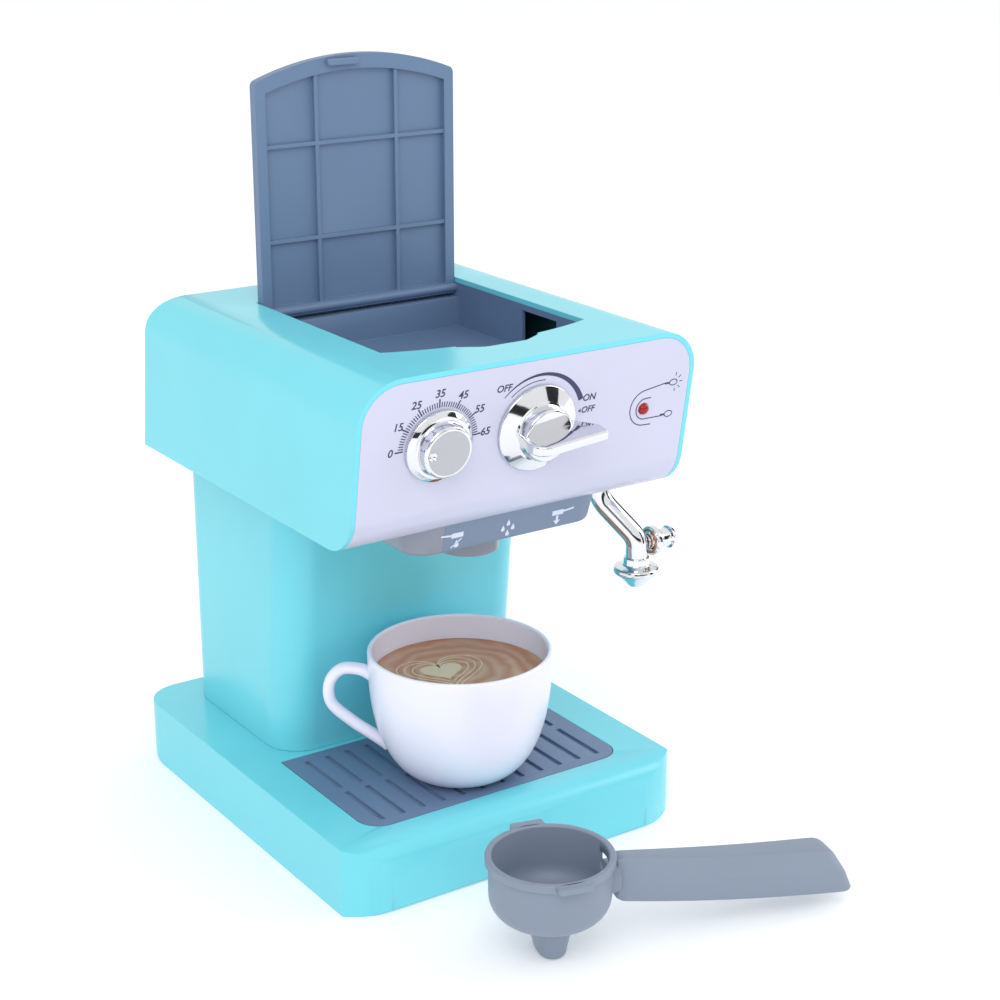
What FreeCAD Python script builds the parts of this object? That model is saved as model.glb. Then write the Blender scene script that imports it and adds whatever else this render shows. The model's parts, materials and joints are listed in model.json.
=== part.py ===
# Toy coffee maker: base with drip tray, column, head with bin and lid, panel with dial,
# knob and lamp, brew head, steam wand, cup of coffee and a free portafilter.
# Millimetres, +Z up, -Y is the front, origin on the underside in the middle of the base.

import FreeCAD, Part
import Sketcher
import math
import os

os.makedirs("parts", exist_ok=True)
doc = FreeCAD.newDocument("ToyCoffeeMaker")
sheet = doc.addObject("Spreadsheet::Sheet", "Sizes")
Vector = FreeCAD.Vector


class Term:
    """A number together with the sheet expression that gives it."""

    def __init__(self, value, text):
        self.value = float(value)
        self.text = text

    def join(self, other, sign, number, turned=False):
        other = term(other)
        first, second = (other, self) if turned else (self, other)
        return Term(number(first.value, second.value), f"({first.text} {sign} {second.text})")

    def __add__(self, other):
        return self.join(other, "+", lambda a, b: a + b)

    def __radd__(self, other):
        return self.join(other, "+", lambda a, b: a + b, True)

    def __sub__(self, other):
        return self.join(other, "-", lambda a, b: a - b)

    def __rsub__(self, other):
        return self.join(other, "-", lambda a, b: a - b, True)

    def __mul__(self, other):
        return self.join(other, "*", lambda a, b: a * b)

    def __rmul__(self, other):
        return self.join(other, "*", lambda a, b: a * b, True)

    def __truediv__(self, other):
        return self.join(other, "/", lambda a, b: a / b)

    def __neg__(self):
        return Term(-self.value, f"(0 - {self.text})")


def term(value):
    return value if isinstance(value, Term) else Term(value, f"({value!r})")


SIZES = {
    # casing
    "wall": 2.5,
    "seam_gap": 0.3,
    # base
    "base_wide": 180.0,
    "base_front": 106.0,
    "base_back": 106.0,
    "base_high": 32.0,
    "base_bow": 10.0,
    "base_bow_run": 26.0,
    "base_brow_round": 12.0,
    "base_toe_round": 3.0,
    "base_heel_round": 24.0,
    "base_corner_round": 18.0,
    "plate_wide": 160.0,
    "plate_front": 90.0,
    "plate_back": 78.0,
    "pad_round": 9.0,
    "pad_thick": 1.2,
    "pad_x": 60.0,
    "pad_front": 72.0,
    "pad_back": 58.0,
    # drip tray
    "tray_wide": 139.0,
    "tray_front": 87.0,
    "tray_back": 5.0,
    "tray_thick": 4.0,
    "tray_round": 11.0,
    "slot_wide": 2.6,
    "slot_deep": 1.4,
    "slot_pitch": 10.8,
    "slot_count": 12,
    "slot_edge": 6.0,
    "slot_middle": 5.0,
    # column
    "column_wide": 133.0,
    "column_front": 2.0,
    "column_back": 94.0,
    "column_lean": 13.5,
    "column_front_round": 18.0,
    "column_back_round": 15.0,
    "hatch_wide": 84.0,
    "hatch_low": 50.0,
    "hatch_top": 150.0,
    "hatch_thick": 2.5,
    # head
    "head_wide": 172.0,
    "head_low": 166.5,
    "head_top": 243.3,
    "head_front_low": 102.2,
    "head_front_top": 114.8,
    "head_back_low": 93.0,
    "head_back_top": 83.0,
    "head_round": 20.0,
    "head_chin_round": 20.0,
    "panel_thick": 2.0,
    "panel_rim": 2.4,
    "panel_under": 82.0,
    # bin and lid
    "bin_wide": 105.0,
    "bin_front": 75.0,
    "bin_bow": 10.0,
    "bin_floor": 220.0,
    "bin_wall": 1.8,
    "bin_back_wall": 27.0,
    "bin_step": 234.0,
    "notch_wide": 42.0,
    "notch_deep": 6.0,
    "side_slot_front": 54.0,
    "side_slot_back": 27.0,
    "side_slot_low": 222.5,
    "side_slot_top": 238.0,
    "hinge_y": 30.0,
    "hinge_z": 238.5,
    "hinge_pin_radius": 2.0,
    "pin_clear": 0.05,
    "lid_gap": 0.5,
    "lid_thick": 2.2,
    "lid_rise": 4.6,
    "lid_rim_deep": 5.0,
    "lid_rim_wide": 5.0,
    "lid_heel": 2.6,
    "lid_rib_wide": 1.8,
    "lid_rib_x": 21.0,
    "lid_rib_low": 271.0,
    "lid_rib_high": 314.0,
    "lid_corner_round": 3.0,
    # controls
    "dial_x": -46.6,
    "dial_z": 211.0,
    "dial_flange_radius": 16.0,
    "dial_flange_thick": 3.0,
    "dial_body_radius": 11.5,
    "dial_high": 8.5,
    "knob_x": 2.5,
    "knob_z": 210.5,
    "knob_flange_radius": 19.5,
    "knob_flange_thick": 3.4,
    "knob_boss_radius": 12.0,
    "knob_boss_high": 10.0,
    "lever_left": 15.0,
    "lever_right": 22.0,
    "lever_thick": 4.5,
    "lever_high": 22.0,
    "lever_round": 4.0,
    "shaft_radius": 3.0,
    "shaft_long": 18.0,
    "shaft_hole_clear": 0.4,
    "control_gap": 0.3,
    "timer_box_wide": 30.0,
    "timer_box_deep": 12.0,
    "switch_box_wide": 26.0,
    "switch_box_deep": 12.0,
    "housing_seat": 0.3,
    "lamp_x": 60.0,
    "lamp_z": 209.0,
    "lamp_radius": 2.6,
    "lamp_long": 8.0,
    # brew head
    "brew_wide": 104.0,
    "brew_front": 96.0,
    "brew_back": 30.0,
    "brew_low": 158.0,
    "brew_round": 15.0,
    "outlet_y": 60.0,
    "outlet_radius": 14.0,
    "outlet_low": 142.5,
    "outlet_bore": 9.0,
    "outlet_bore_deep": 3.0,
    # steam wand
    "wand_x": 67.0,
    "wand_y": -68.0,
    "wand_radius": 5.2,
    "wand_bend": 16.0,
    "wand_reach": 19.0,
    "wand_heading": -52.0,
    "wand_drop": 38.0,
    "wand_end_run": 9.0,
    "wand_collar_radius": 7.5,
    "wand_collar_high": 4.0,
    "bell_radius": 11.0,
    "bell_high": 14.0,
    "valve_radius": 7.0,
    "valve_long": 15.0,
    # cup
    "cup_x": -3.0,
    "cup_y": -57.6,
    "cup_rim_radius": 42.5,
    "cup_high": 61.0,
    "cup_foot_radius": 19.0,
    "cup_wall": 2.0,
    "cup_handle_radius": 3.4,
    "cup_handle_reach": 58.0,
    "cup_handle_top": 83.0,
    "cup_handle_low": 47.0,
    "cup_handle_turn": 148.0,
    "coffee_deep": 12.0,
    "coffee_thick": 1.6,
    "cup_seat_gap": 0.05,
    # portafilter
    "filter_x": -31.0,
    "filter_y": -169.0,
    "filter_turn": -15.0,
    "bowl_radius": 27.5,
    "bowl_bore": 24.6,
    "bowl_top": 45.7,
    "bowl_low": 17.0,
    "bowl_floor": 2.4,
    "bowl_round": 11.0,
    "lug_thick": 2.6,
    "lug_reach": 3.4,
    "lug_wide": 15.0,
    "spout_lobe_radius": 5.0,
    "spout_spread": 5.5,
    "spout_collar_radius": 12.0,
    "spout_collar_low": 11.0,
    "handle_start": 30.0,
    "handle_end": 136.0,
    "handle_start_z": 30.5,
    "handle_end_z": 17.5,
    "handle_start_wide": 14.0,
    "handle_start_high": 19.0,
    "handle_end_wide": 26.0,
    "handle_end_high": 20.0,
    "neck_radius": 4.5,
    # inside
    "post_radius": 4.0,
    "screw_radius": 1.4,
    "screw_head_radius": 2.8,
    "screw_head_thick": 1.6,
    "battery_radius": 7.1,
    "battery_long": 49.5,
    "battery_pitch": 15.2,
    "battery_bay_y": 42.0,
    "door_wide": 62.0,
    "door_long": 44.0,
    "board_wide": 70.0,
    "board_high": 40.0,
    "board_thick": 1.6,
    "board_z": 178.0,
    "speaker_radius": 20.0,
    "speaker_thick": 9.0,
    "speaker_y": -45.0,
}


def fill_sheet():
    for row, (name, value) in enumerate(SIZES.items(), start=1):
        sheet.set(f"A{row}", name)
        sheet.set(f"B{row}", repr(value))
        sheet.setAlias(f"B{row}", name)
    doc.recompute()


class Sheet:
    """Gives each named size as a Term, such as size.wall."""

    def __getattr__(self, name):
        return Term(SIZES[name], f"Sizes.{name}")


fill_sheet()
size = Sheet()


def bind(thing, name, value):
    """Sets a property and ties it to its cells."""
    value = term(value)
    thing.setExpression(name, value.text)


def new_body(name):
    body = doc.addObject("PartDesign::Body", name)
    body.Label = name
    return body


def new_sketch(body, plane, offset=0.0):
    """A sketch on one of the body's own origin planes, moved along that plane's normal."""
    sketch = body.newObject("Sketcher::SketchObject", f"{body.Name}_sketch")
    face = [f for f in body.Origin.OriginFeatures if f.Role == plane][0]
    sketch.AttachmentSupport = [(face, "")]
    sketch.MapMode = "FlatFace"
    bind(sketch, ".AttachmentOffset.Base.z", offset)
    return sketch


def pin_point(sketch, line, end, x, y):
    """Fixes one end of a line or arc at bound coordinates."""
    for kind, value in (("DistanceX", x), ("DistanceY", y)):
        value = term(value)
        number = sketch.addConstraint(
            Sketcher.Constraint(kind, -1, 1, line, end, value.value)
        )
        sketch.setExpression(f"Constraints[{number}]", value.text)


def outline(sketch, points, arcs=None):
    """A closed outline through bound points. arcs maps a side's number to its bound arc centre."""
    arcs = arcs or {}
    spots = [Vector(term(x).value, term(y).value, 0) for x, y in points]
    sides = []
    for i, start in enumerate(spots):
        end = spots[(i + 1) % len(spots)]
        if i in arcs:
            sides.append(add_arc(sketch, start, end, arcs[i]))
        else:
            sides.append((sketch.addGeometry(Part.LineSegment(start, end), False), 1, 2))
    for i, (side, _, tail) in enumerate(sides):
        follower, head, _ = sides[(i + 1) % len(sides)]
        sketch.addConstraint(Sketcher.Constraint("Coincident", side, tail, follower, head))
    for (side, head, _), (x, y) in zip(sides, points):
        pin_point(sketch, side, head, x, y)


def add_arc(sketch, start, end, rule):
    """An arc from start to end with a bound radius. rule is (centre x, centre y, radius)."""
    centre = Vector(term(rule[0]).value, term(rule[1]).value, 0)
    radius = term(rule[2])
    first = math.atan2(start.y - centre.y, start.x - centre.x)
    last = math.atan2(end.y - centre.y, end.x - centre.x)
    sweep = (last - first) % (2 * math.pi)
    turned = sweep > math.pi
    low, high = (last, first) if turned else (first, last)
    circle = Part.Circle(centre, Vector(0, 0, 1), radius.value)
    arc = sketch.addGeometry(Part.ArcOfCircle(circle, low, high), False)
    number = sketch.addConstraint(Sketcher.Constraint("Radius", arc, radius.value))
    sketch.setExpression(f"Constraints[{number}]", radius.text)
    return (arc, 2, 1) if turned else (arc, 1, 2)


def ring(sketch, x, y, radius):
    """A circle with bound centre and radius."""
    x, y, radius = term(x), term(y), term(radius)
    circle = Part.Circle(Vector(x.value, y.value, 0), Vector(0, 0, 1), radius.value)
    number = sketch.addGeometry(circle, False)
    pin_point(sketch, number, 3, x, y)
    rule = sketch.addConstraint(Sketcher.Constraint("Radius", number, radius.value))
    sketch.setExpression(f"Constraints[{rule}]", radius.text)


def pad(body, sketch, length, midplane=False, reverse=False):
    feature = body.newObject("PartDesign::Pad", f"{body.Name}_pad")
    feature.Profile = sketch
    bind(feature, "Length", length)
    feature.Midplane = midplane
    feature.Reversed = reverse
    doc.recompute()
    return feature


def pocket(body, sketch, length, midplane=False, reverse=False):
    """Cuts a sketch into the body, and stops if nothing was cut."""
    before = body.Shape.Volume
    feature = body.newObject("PartDesign::Pocket", f"{body.Name}_pocket")
    feature.Profile = sketch
    bind(feature, "Length", length)
    feature.Midplane = midplane
    feature.Reversed = reverse
    doc.recompute()
    if body.Shape.Volume >= before:
        raise RuntimeError(f"{body.Label}: a pocket cuts nothing")
    return feature


def fillet(body, chosen, radius):
    """Rounds the edges of the body's tip that the test chooses."""
    tip = body.Tip
    names = [f"Edge{i}" for i, edge in enumerate(tip.Shape.Edges, 1) if chosen(edge)]
    if not names:
        raise RuntimeError(f"{body.Label}: no edge to round")
    feature = body.newObject("PartDesign::Fillet", f"{body.Name}_fillet")
    feature.Base = (tip, names)
    bind(feature, "Radius", radius)
    doc.recompute()
    return feature


def runs_along(edge, axis):
    """True where a straight edge runs along the given axis, give or take a lean."""
    if edge.Curve.TypeId != "Part::GeomLine":
        return False
    return abs(edge.Curve.Direction.dot(axis)) > 0.97


X, Y, Z = Vector(1, 0, 0), Vector(0, 1, 0), Vector(0, 0, 1)


def revolve(body, sketch, axis):
    """Turns a sketch once round one of the body's own axes, or round the sketch's own."""
    feature = body.newObject("PartDesign::Revolution", f"{body.Name}_turn")
    feature.Profile = sketch
    feature.ReferenceAxis = (sketch, [axis])
    feature.Angle = 360.0
    doc.recompute()
    return feature


def put(thing, x=0.0, y=0.0, z=0.0, turn=None):
    """Places a piece at a bound point, turned by a fixed rotation."""
    if turn is not None:
        thing.Placement = FreeCAD.Placement(Vector(0, 0, 0), turn)
    for name, value in (("x", x), ("y", y), ("z", z)):
        bind(thing, f".Placement.Base.{name}", value)
    return thing


def box(name, low, high):
    """A block from its bound low corner to its bound high corner."""
    thing = doc.addObject("Part::Box", name)
    for prop, a, b in zip(("Length", "Width", "Height"), low, high):
        bind(thing, prop, term(b) - a)
    return put(thing, *low)


def cylinder(name, radius, height, x, y, z, turn=None):
    """A cylinder that starts at a bound point and runs up, or along its turned axis."""
    thing = doc.addObject("Part::Cylinder", name)
    bind(thing, "Radius", radius)
    bind(thing, "Height", height)
    return put(thing, x, y, z, turn)


def fuse(name, *things):
    feature = doc.addObject("Part::MultiFuse", name)
    feature.Shapes = list(things)
    feature.Label = name
    doc.recompute()
    return feature


def cut(name, base, *tools):
    tool = tools[0] if len(tools) == 1 else fuse(f"{name}_tools", *tools)
    feature = doc.addObject("Part::Cut", name)
    feature.Base = base
    feature.Tool = tool
    feature.Label = name
    doc.recompute()
    return feature


def common(name, *things):
    feature = doc.addObject("Part::MultiCommon", name)
    feature.Shapes = list(things)
    feature.Label = name
    doc.recompute()
    return feature


def group(name, *things):
    """Separate solids that share one node."""
    feature = doc.addObject("Part::Compound", name)
    feature.Links = list(things)
    feature.Label = name
    doc.recompute()
    return feature


TO_FRONT = FreeCAD.Rotation(X, 90)
TO_RIGHT = FreeCAD.Rotation(Y, 90)
half_base = size.base_wide / 2
half_head = size.head_wide / 2
half_bin = size.bin_wide / 2
half_column = size.column_wide / 2


def root(value):
    """The square root of a Term."""
    return Term(math.sqrt(value.value), f"sqrt({value.text})")


# The bin's back edge clears the lid's heel corner as the lid turns on its pins.
heel_swing = root(size.lid_rise * size.lid_rise + size.lid_heel * size.lid_heel)
bin_back = size.hinge_y + heel_swing + size.seam_gap


# Base

def base_solid(name, inset):
    """The base's outer form, drawn in by inset on every side but the foot."""
    profile = new_body(f"{name}_side")
    sketch = new_sketch(profile, "YZ_Plane")
    front = -(size.base_front - inset)
    back = size.base_back - inset
    low = term(inset)
    top = size.base_high - inset
    outline(sketch, [(front, low), (back, low), (back, top), (front, top)])
    pad(profile, sketch, size.base_wide - 2 * term(inset), midplane=True)

    def edge_at(y, z):
        return lambda e: (
            runs_along(e, X)
            and abs(e.CenterOfMass.y - term(y).value) < 0.1
            and abs(e.CenterOfMass.z - term(z).value) < 0.1
        )

    fillet(profile, edge_at(front, top), size.base_brow_round - inset)
    fillet(profile, edge_at(back, low), size.base_heel_round - inset)
    if not isinstance(inset, Term):
        fillet(profile, edge_at(front, low), size.base_toe_round)

    plan = new_body(f"{name}_plan")
    sketch = new_sketch(plan, "XY_Plane", -5.0)
    side = half_base - inset
    shoulder = front + size.base_bow
    run = side - size.base_bow_run
    radius = (
        size.base_bow_run * size.base_bow_run + size.base_bow * size.base_bow
    ) / (2 * size.base_bow)
    points = [(-side, shoulder), (-run, front), (run, front), (side, shoulder), (side, back), (-side, back)]
    arcs = {0: (-run, front + radius, radius), 2: (run, front + radius, radius)}
    outline(sketch, points, arcs)
    pad(plan, sketch, size.base_high + 10.0)
    fillet(
        plan,
        lambda e: runs_along(e, Z) and e.CenterOfMass.y > term(back).value - 1,
        size.base_corner_round - inset,
    )
    return common(name, profile, plan)


def tray_block(name, extra, low, top):
    """The drip tray's outline as a block, with its two front corners rounded."""
    body = new_body(name)
    sketch = new_sketch(body, "XY_Plane", low)
    half = size.tray_wide / 2 + extra
    front = -(size.tray_front + extra)
    back = -(size.tray_back - extra)
    outline(sketch, [(-half, front), (half, front), (half, back), (-half, back)])
    pad(body, sketch, term(top) - low)
    fillet(
        body,
        lambda e: runs_along(e, Z) and e.CenterOfMass.y < term(front).value + 1,
        size.tray_round + extra,
    )
    return body


SCREW_SPOTS = ((-1, -1), (1, -1), (-1, 1), (1, 1))
tray_low = size.base_high - size.tray_thick
recess_low = tray_low - size.seam_gap
plate_top = size.wall
post_x = size.plate_wide / 2 - 2 * size.post_radius
post_front = size.plate_front - 2 * size.post_radius
post_back = size.plate_back - 2 * size.post_radius


def post_y(side):
    return -post_front if side < 0 else post_back


def make_base():
    outer = base_solid("base_outer", 0.0)
    inner = base_solid("base_inner", size.wall)
    pan = tray_block("tray_pan", size.seam_gap + size.wall, recess_low - size.wall, size.base_high)
    posts = [
        cylinder(f"base_post_{i}", size.post_radius, size.base_high, sx * post_x, post_y(sy), 0.0)
        for i, (sx, sy) in enumerate(SCREW_SPOTS)
    ]
    hollow = cut("base_hollow", inner, pan, *posts)
    recess = tray_block("tray_recess", size.seam_gap, recess_low, size.base_high + 1.0)
    mouth = box(
        "base_mouth",
        (-(size.plate_wide / 2 + size.seam_gap), -(size.plate_front + size.seam_gap), -1.0),
        (size.plate_wide / 2 + size.seam_gap, size.plate_back + size.seam_gap, plate_top),
    )
    wire_hole = box(
        "wire_hole",
        (-20.0, size.column_front + 20.0, size.base_high - size.wall - 1.0),
        (20.0, size.column_back - 20.0, size.base_high + 1.0),
    )
    bores = [
        cylinder(
            f"base_bore_{i}", size.screw_radius, size.screw_head_thick + 10.0, sx * post_x, post_y(sy), 0.0
        )
        for i, (sx, sy) in enumerate(SCREW_SPOTS)
    ]
    return cut("base_shell", outer, hollow, recess, mouth, wire_hole, *bores)


bay_low_y = size.battery_bay_y - size.door_long / 2
bay_high_y = size.battery_bay_y + size.door_long / 2
half_door = size.door_wide / 2


def make_base_plate():
    blank = box(
        "plate_blank",
        (-size.plate_wide / 2, -size.plate_front, 0.0),
        (size.plate_wide / 2, size.plate_back, plate_top),
    )
    doorway = box("plate_doorway", (-half_door, bay_low_y, -1.0), (half_door, bay_high_y, plate_top + 1.0))
    tools = [doorway]
    for i, (sx, sy) in enumerate(SCREW_SPOTS):
        x, y = sx * post_x, post_y(sy)
        tools.append(cylinder(f"plate_bore_{i}", size.screw_radius, plate_top + 1.0, x, y, 0.0))
        tools.append(cylinder(f"plate_sink_{i}", size.screw_head_radius, size.screw_head_thick, x, y, 0.0))
        x, y = sx * size.pad_x, pad_y(sy)
        tools.append(cylinder(f"plate_dish_{i}", size.pad_round, size.pad_thick, x, y, 0.0))
    for i in range(5):
        y = size.speaker_y + (i - 2) * 6.0
        tools.append(box(f"sound_slot_{i}", (-12.0, y - 1.0, -1.0), (12.0, y + 1.0, plate_top + 1.0)))
    return cut("base_plate", blank, *tools)


def pad_y(side):
    return -size.pad_front if side < 0 else size.pad_back


def make_feet():
    pads = [
        cylinder(f"foot_pad_{i}", size.pad_round, size.pad_thick, sx * size.pad_x, pad_y(sy), 0.0)
        for i, (sx, sy) in enumerate(SCREW_SPOTS)
    ]
    return group("rubber_feet", *pads)


def screw(name, x, y, z, long, turn=None):
    """A pan-head screw whose head lies at the given point and whose shank runs up its axis."""
    head = cylinder(f"{name}_head", size.screw_head_radius, size.screw_head_thick, 0.0, 0.0, 0.0)
    shank = cylinder(f"{name}_shank", size.screw_radius, long, 0.0, 0.0, 0.0)
    whole = fuse(name, head, shank)
    return put(whole, x, y, z, turn)


def make_base_screws():
    screws = [
        screw(f"base_screw_{i}", sx * post_x, post_y(sy), 0.0, size.screw_head_thick + 9.0)
        for i, (sx, sy) in enumerate(SCREW_SPOTS)
    ]
    return group("base_screws", *screws)


def make_tray():
    body = tray_block("drip_tray", 0.0, tray_low, size.base_high)
    deep = (size.tray_front - size.tray_back - 2 * size.slot_edge - size.slot_middle) / 2
    middle = -(size.tray_front + size.tray_back) / 2
    for row in (-1, 1):
        sketch = new_sketch(body, "XY_Plane", size.base_high)
        count = int(SIZES["slot_count"])
        near = middle + row * size.slot_middle / 2
        far = near + row * deep
        for i in range(count):
            x = (i - (count - 1) / 2) * size.slot_pitch
            left, right = x - size.slot_wide / 2, x + size.slot_wide / 2
            outline(sketch, [(left, near), (right, near), (right, far), (left, far)])
        pocket(body, sketch, size.slot_deep)
    return body


# Battery bay, speaker

def make_battery_box():
    """A tray over the doorway, open below, that holds the cells."""
    wall = size.bin_wall
    high = 2 * size.battery_radius + 1.0
    outer = box(
        "bay_outer",
        (-half_door - wall, bay_low_y - wall, plate_top),
        (half_door + wall, bay_high_y + wall, plate_top + high + wall),
    )
    inner = box(
        "bay_inner",
        (-half_door, bay_low_y, plate_top - 1.0),
        (half_door, bay_high_y, plate_top + high),
    )
    boss = cylinder("bay_boss", size.post_radius, high, 0.0, bay_low_y + 4.2, plate_top)
    hollow = cut("bay_hollow", inner, boss)
    bore = cylinder("bay_bore", size.screw_radius, 9.0, 0.0, bay_low_y + 4.2, plate_top - 0.5)
    return cut("battery_box", outer, hollow, bore)


cell_y = (size.battery_bay_y + 4.0 - size.battery_pitch / 2, size.battery_bay_y + 4.0 + size.battery_pitch / 2)
cell_z = plate_top + size.battery_radius + 0.5


def make_batteries():
    cells = []
    for i, y in enumerate(cell_y):
        can = cylinder(f"cell_{i}", size.battery_radius, size.battery_long, 0.0, 0.0, 0.0)
        tip = cylinder(f"cell_tip_{i}", 2.7, 1.0, 0.0, 0.0, size.battery_long)
        cell = fuse(f"cell_whole_{i}", can, tip)
        cells.append(put(cell, -size.battery_long / 2, y, cell_z, TO_RIGHT))
    return group("batteries", *cells)


def make_contacts():
    """Spring contact stacks at one end and flat plates at the other."""
    pieces = []
    for i, y in enumerate(cell_y):
        room = half_door - size.battery_long / 2
        spring = cylinder(f"contact_spring_{i}", 3.2, room, -half_door, y, cell_z, TO_RIGHT)
        pieces.append(spring)
        pieces.append(
            box(
                f"contact_plate_{i}",
                (half_door - 0.8, y - 4.0, cell_z - 4.0),
                (half_door, y + 4.0, cell_z + 4.0),
            )
        )
    return group("battery_contacts", *pieces)


def make_battery_door():
    gap = size.seam_gap
    leaf = box(
        "door_leaf",
        (-half_door + gap, bay_low_y + gap, 0.0),
        (half_door - gap, bay_high_y - gap, plate_top),
    )
    bore = cylinder("door_bore", size.screw_radius, plate_top, 0.0, bay_low_y + 4.2, 0.0)
    sink = cylinder("door_sink", size.screw_head_radius, size.screw_head_thick, 0.0, bay_low_y + 4.2, 0.0)
    return cut("battery_door", leaf, bore, sink)


def make_door_screw():
    whole = screw("battery_door_screw", 0.0, bay_low_y + 4.2, 0.0, plate_top + 5.0)
    return whole


def make_speaker():
    body = new_body("speaker")
    sketch = new_sketch(body, "XZ_Plane")
    r, t = size.speaker_radius, size.speaker_thick
    points = [(0.0, 0.0), (r, 0.0), (r, 2.0), (r / 2, t - 3.0), (r / 2, t), (0.0, t)]
    outline(sketch, points)
    revolve(body, sketch, "V_Axis")
    return put(body, 0.0, size.speaker_y, plate_top)


# Column

def column_solid(name, inset, low, top):
    """The column's leaning form between two heights."""
    body = new_body(name)
    sketch = new_sketch(body, "YZ_Plane")
    rise = size.head_low - size.base_high
    slope = size.column_lean / rise
    front_low = -size.column_front + inset - (low - size.base_high) * slope
    front_top = -size.column_front + inset - (top - size.base_high) * slope
    back = size.column_back - inset
    outline(sketch, [(front_low, low), (back, low), (back, top), (front_top, top)])
    pad(body, sketch, size.column_wide - 2 * term(inset), midplane=True)
    fillet(
        body,
        lambda e: runs_along(e, Z) and e.CenterOfMass.y < 10,
        size.column_front_round - inset,
    )
    fillet(
        body,
        lambda e: runs_along(e, Z) and e.CenterOfMass.y > 50,
        size.column_back_round - inset,
    )
    return body


def make_column():
    outer = column_solid("column_outer", 0.0, size.base_high, size.head_low)
    inner = column_solid("column_inner", size.wall, size.base_high - 1.0, size.head_low + 1.0)
    gap = size.seam_gap
    hatchway = box(
        "column_hatchway",
        (-size.hatch_wide / 2 - gap, size.column_back - size.wall - 1.0, size.hatch_low - gap),
        (size.hatch_wide / 2 + gap, size.column_back + 1.0, size.hatch_top + gap),
    )
    return cut("column_shell", outer, inner, hatchway)


def make_rear_cover():
    """The hatch in the column's back, with a ledge inside that the wall bears on."""
    back = size.column_back
    leaf = box(
        "cover_leaf",
        (-size.hatch_wide / 2, back - size.hatch_thick, size.hatch_low),
        (size.hatch_wide / 2, back, size.hatch_top),
    )
    ledge = box(
        "cover_ledge",
        (-size.hatch_wide / 2 - 5.0, back - size.wall - 2.0, size.hatch_low - 5.0),
        (size.hatch_wide / 2 + 5.0, back - size.wall, size.hatch_top + 5.0),
    )
    whole = fuse("cover_whole", leaf, ledge)
    bores = [
        cylinder(
            f"cover_bore_{i}", size.screw_radius, 6.0, sx * hatch_x, back + 0.5, hatch_z(sz), TO_FRONT
        )
        for i, (sx, sz) in enumerate(SCREW_SPOTS)
    ]
    sinks = [
        cylinder(
            f"cover_sink_{i}",
            size.screw_head_radius,
            size.screw_head_thick,
            sx * hatch_x,
            back,
            hatch_z(sz),
            TO_FRONT,
        )
        for i, (sx, sz) in enumerate(SCREW_SPOTS)
    ]
    return cut("rear_cover", whole, *bores, *sinks)


hatch_x = size.hatch_wide / 2 - 6.0


def hatch_z(side):
    return size.hatch_low + 6.0 if side < 0 else size.hatch_top - 6.0


def make_cover_screws():
    screws = [
        screw(f"cover_screw_{i}", sx * hatch_x, size.column_back, hatch_z(sz), 4.4, TO_FRONT)
        for i, (sx, sz) in enumerate(SCREW_SPOTS)
    ]
    return group("rear_cover_screws", *screws)


# Head

def head_solid(name, side, front, low, top, back):
    """The head's form: a leaning side profile carried across, with its long edges rounded."""
    body = new_body(name)
    sketch = new_sketch(body, "YZ_Plane")
    z_low, z_top = size.head_low + low, size.head_top - top
    points = [
        (-(size.head_front_low - front), z_low),
        (size.head_back_low - back, z_low),
        (size.head_back_top - back, z_top),
        (-(size.head_front_top - front), z_top),
    ]
    outline(sketch, points)
    pad(body, sketch, size.head_wide - 2 * term(side), midplane=True)
    z_high = z_top.value
    fillet(
        body,
        lambda e: abs(e.BoundBox.ZMin - z_high) < 0.01
        and abs(e.BoundBox.ZMax - z_high) < 0.01
        and (runs_along(e, Y) or e.CenterOfMass.y > 0),
        size.head_round - side,
    )
    fillet(
        body,
        lambda e: e.BoundBox.ZMax < term(z_low).value + 0.01 and e.CenterOfMass.y < -60 and runs_along(e, X),
        size.head_chin_round - front,
    )
    return body


def panel_region(name, rim):
    """A prism along Y with the panel's front outline: two round top corners, open below."""
    body = new_body(name)
    sketch = new_sketch(body, "XZ_Plane", size.panel_under)
    half = half_head - rim
    top = size.head_top - rim
    outline(sketch, [(-half, size.head_low - 5.0), (half, size.head_low - 5.0), (half, top), (-half, top)])
    pad(body, sketch, 60.0)
    fillet(
        body,
        lambda e: runs_along(e, Y) and e.CenterOfMass.z > term(top).value - 1,
        size.head_round - rim,
    )
    return body


def bin_outline(name, extra, low, top, back):
    """The bin's plan, with a bowed front, as a prism."""
    body = new_body(name)
    sketch = new_sketch(body, "XY_Plane", low)
    half = half_bin + extra
    front = -(size.bin_front + extra)
    radius = (half * half + size.bin_bow * size.bin_bow) / (2 * size.bin_bow)
    points = [(-half, front), (half, front), (half, back), (-half, back)]
    outline(sketch, points, {0: (0.0, front - size.bin_bow + radius, radius)})
    pad(body, sketch, term(top) - low)
    return body


def tilt():
    """How far the panel's face leans, top forward, in degrees."""
    run = SIZES["head_front_top"] - SIZES["head_front_low"]
    return math.degrees(math.atan2(run, SIZES["head_top"] - SIZES["head_low"]))


TO_PANEL = FreeCAD.Rotation(X, 90 + tilt())
panel_slope = (size.head_front_top - size.head_front_low) / (size.head_top - size.head_low)


def face_y(z):
    """Where the panel's face lies at a height."""
    return -(size.head_front_low + (z - size.head_low) * panel_slope)


def drill(name, radius, x, z, start=30.0, long=60.0):
    """A cylinder square to the panel's face that passes through it at (x, z)."""
    y = face_y(z) + start * math.cos(math.radians(tilt()))
    deep_z = z + start * math.sin(math.radians(tilt()))
    return cylinder(name, radius, long, x, y, deep_z, TO_PANEL)


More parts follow.
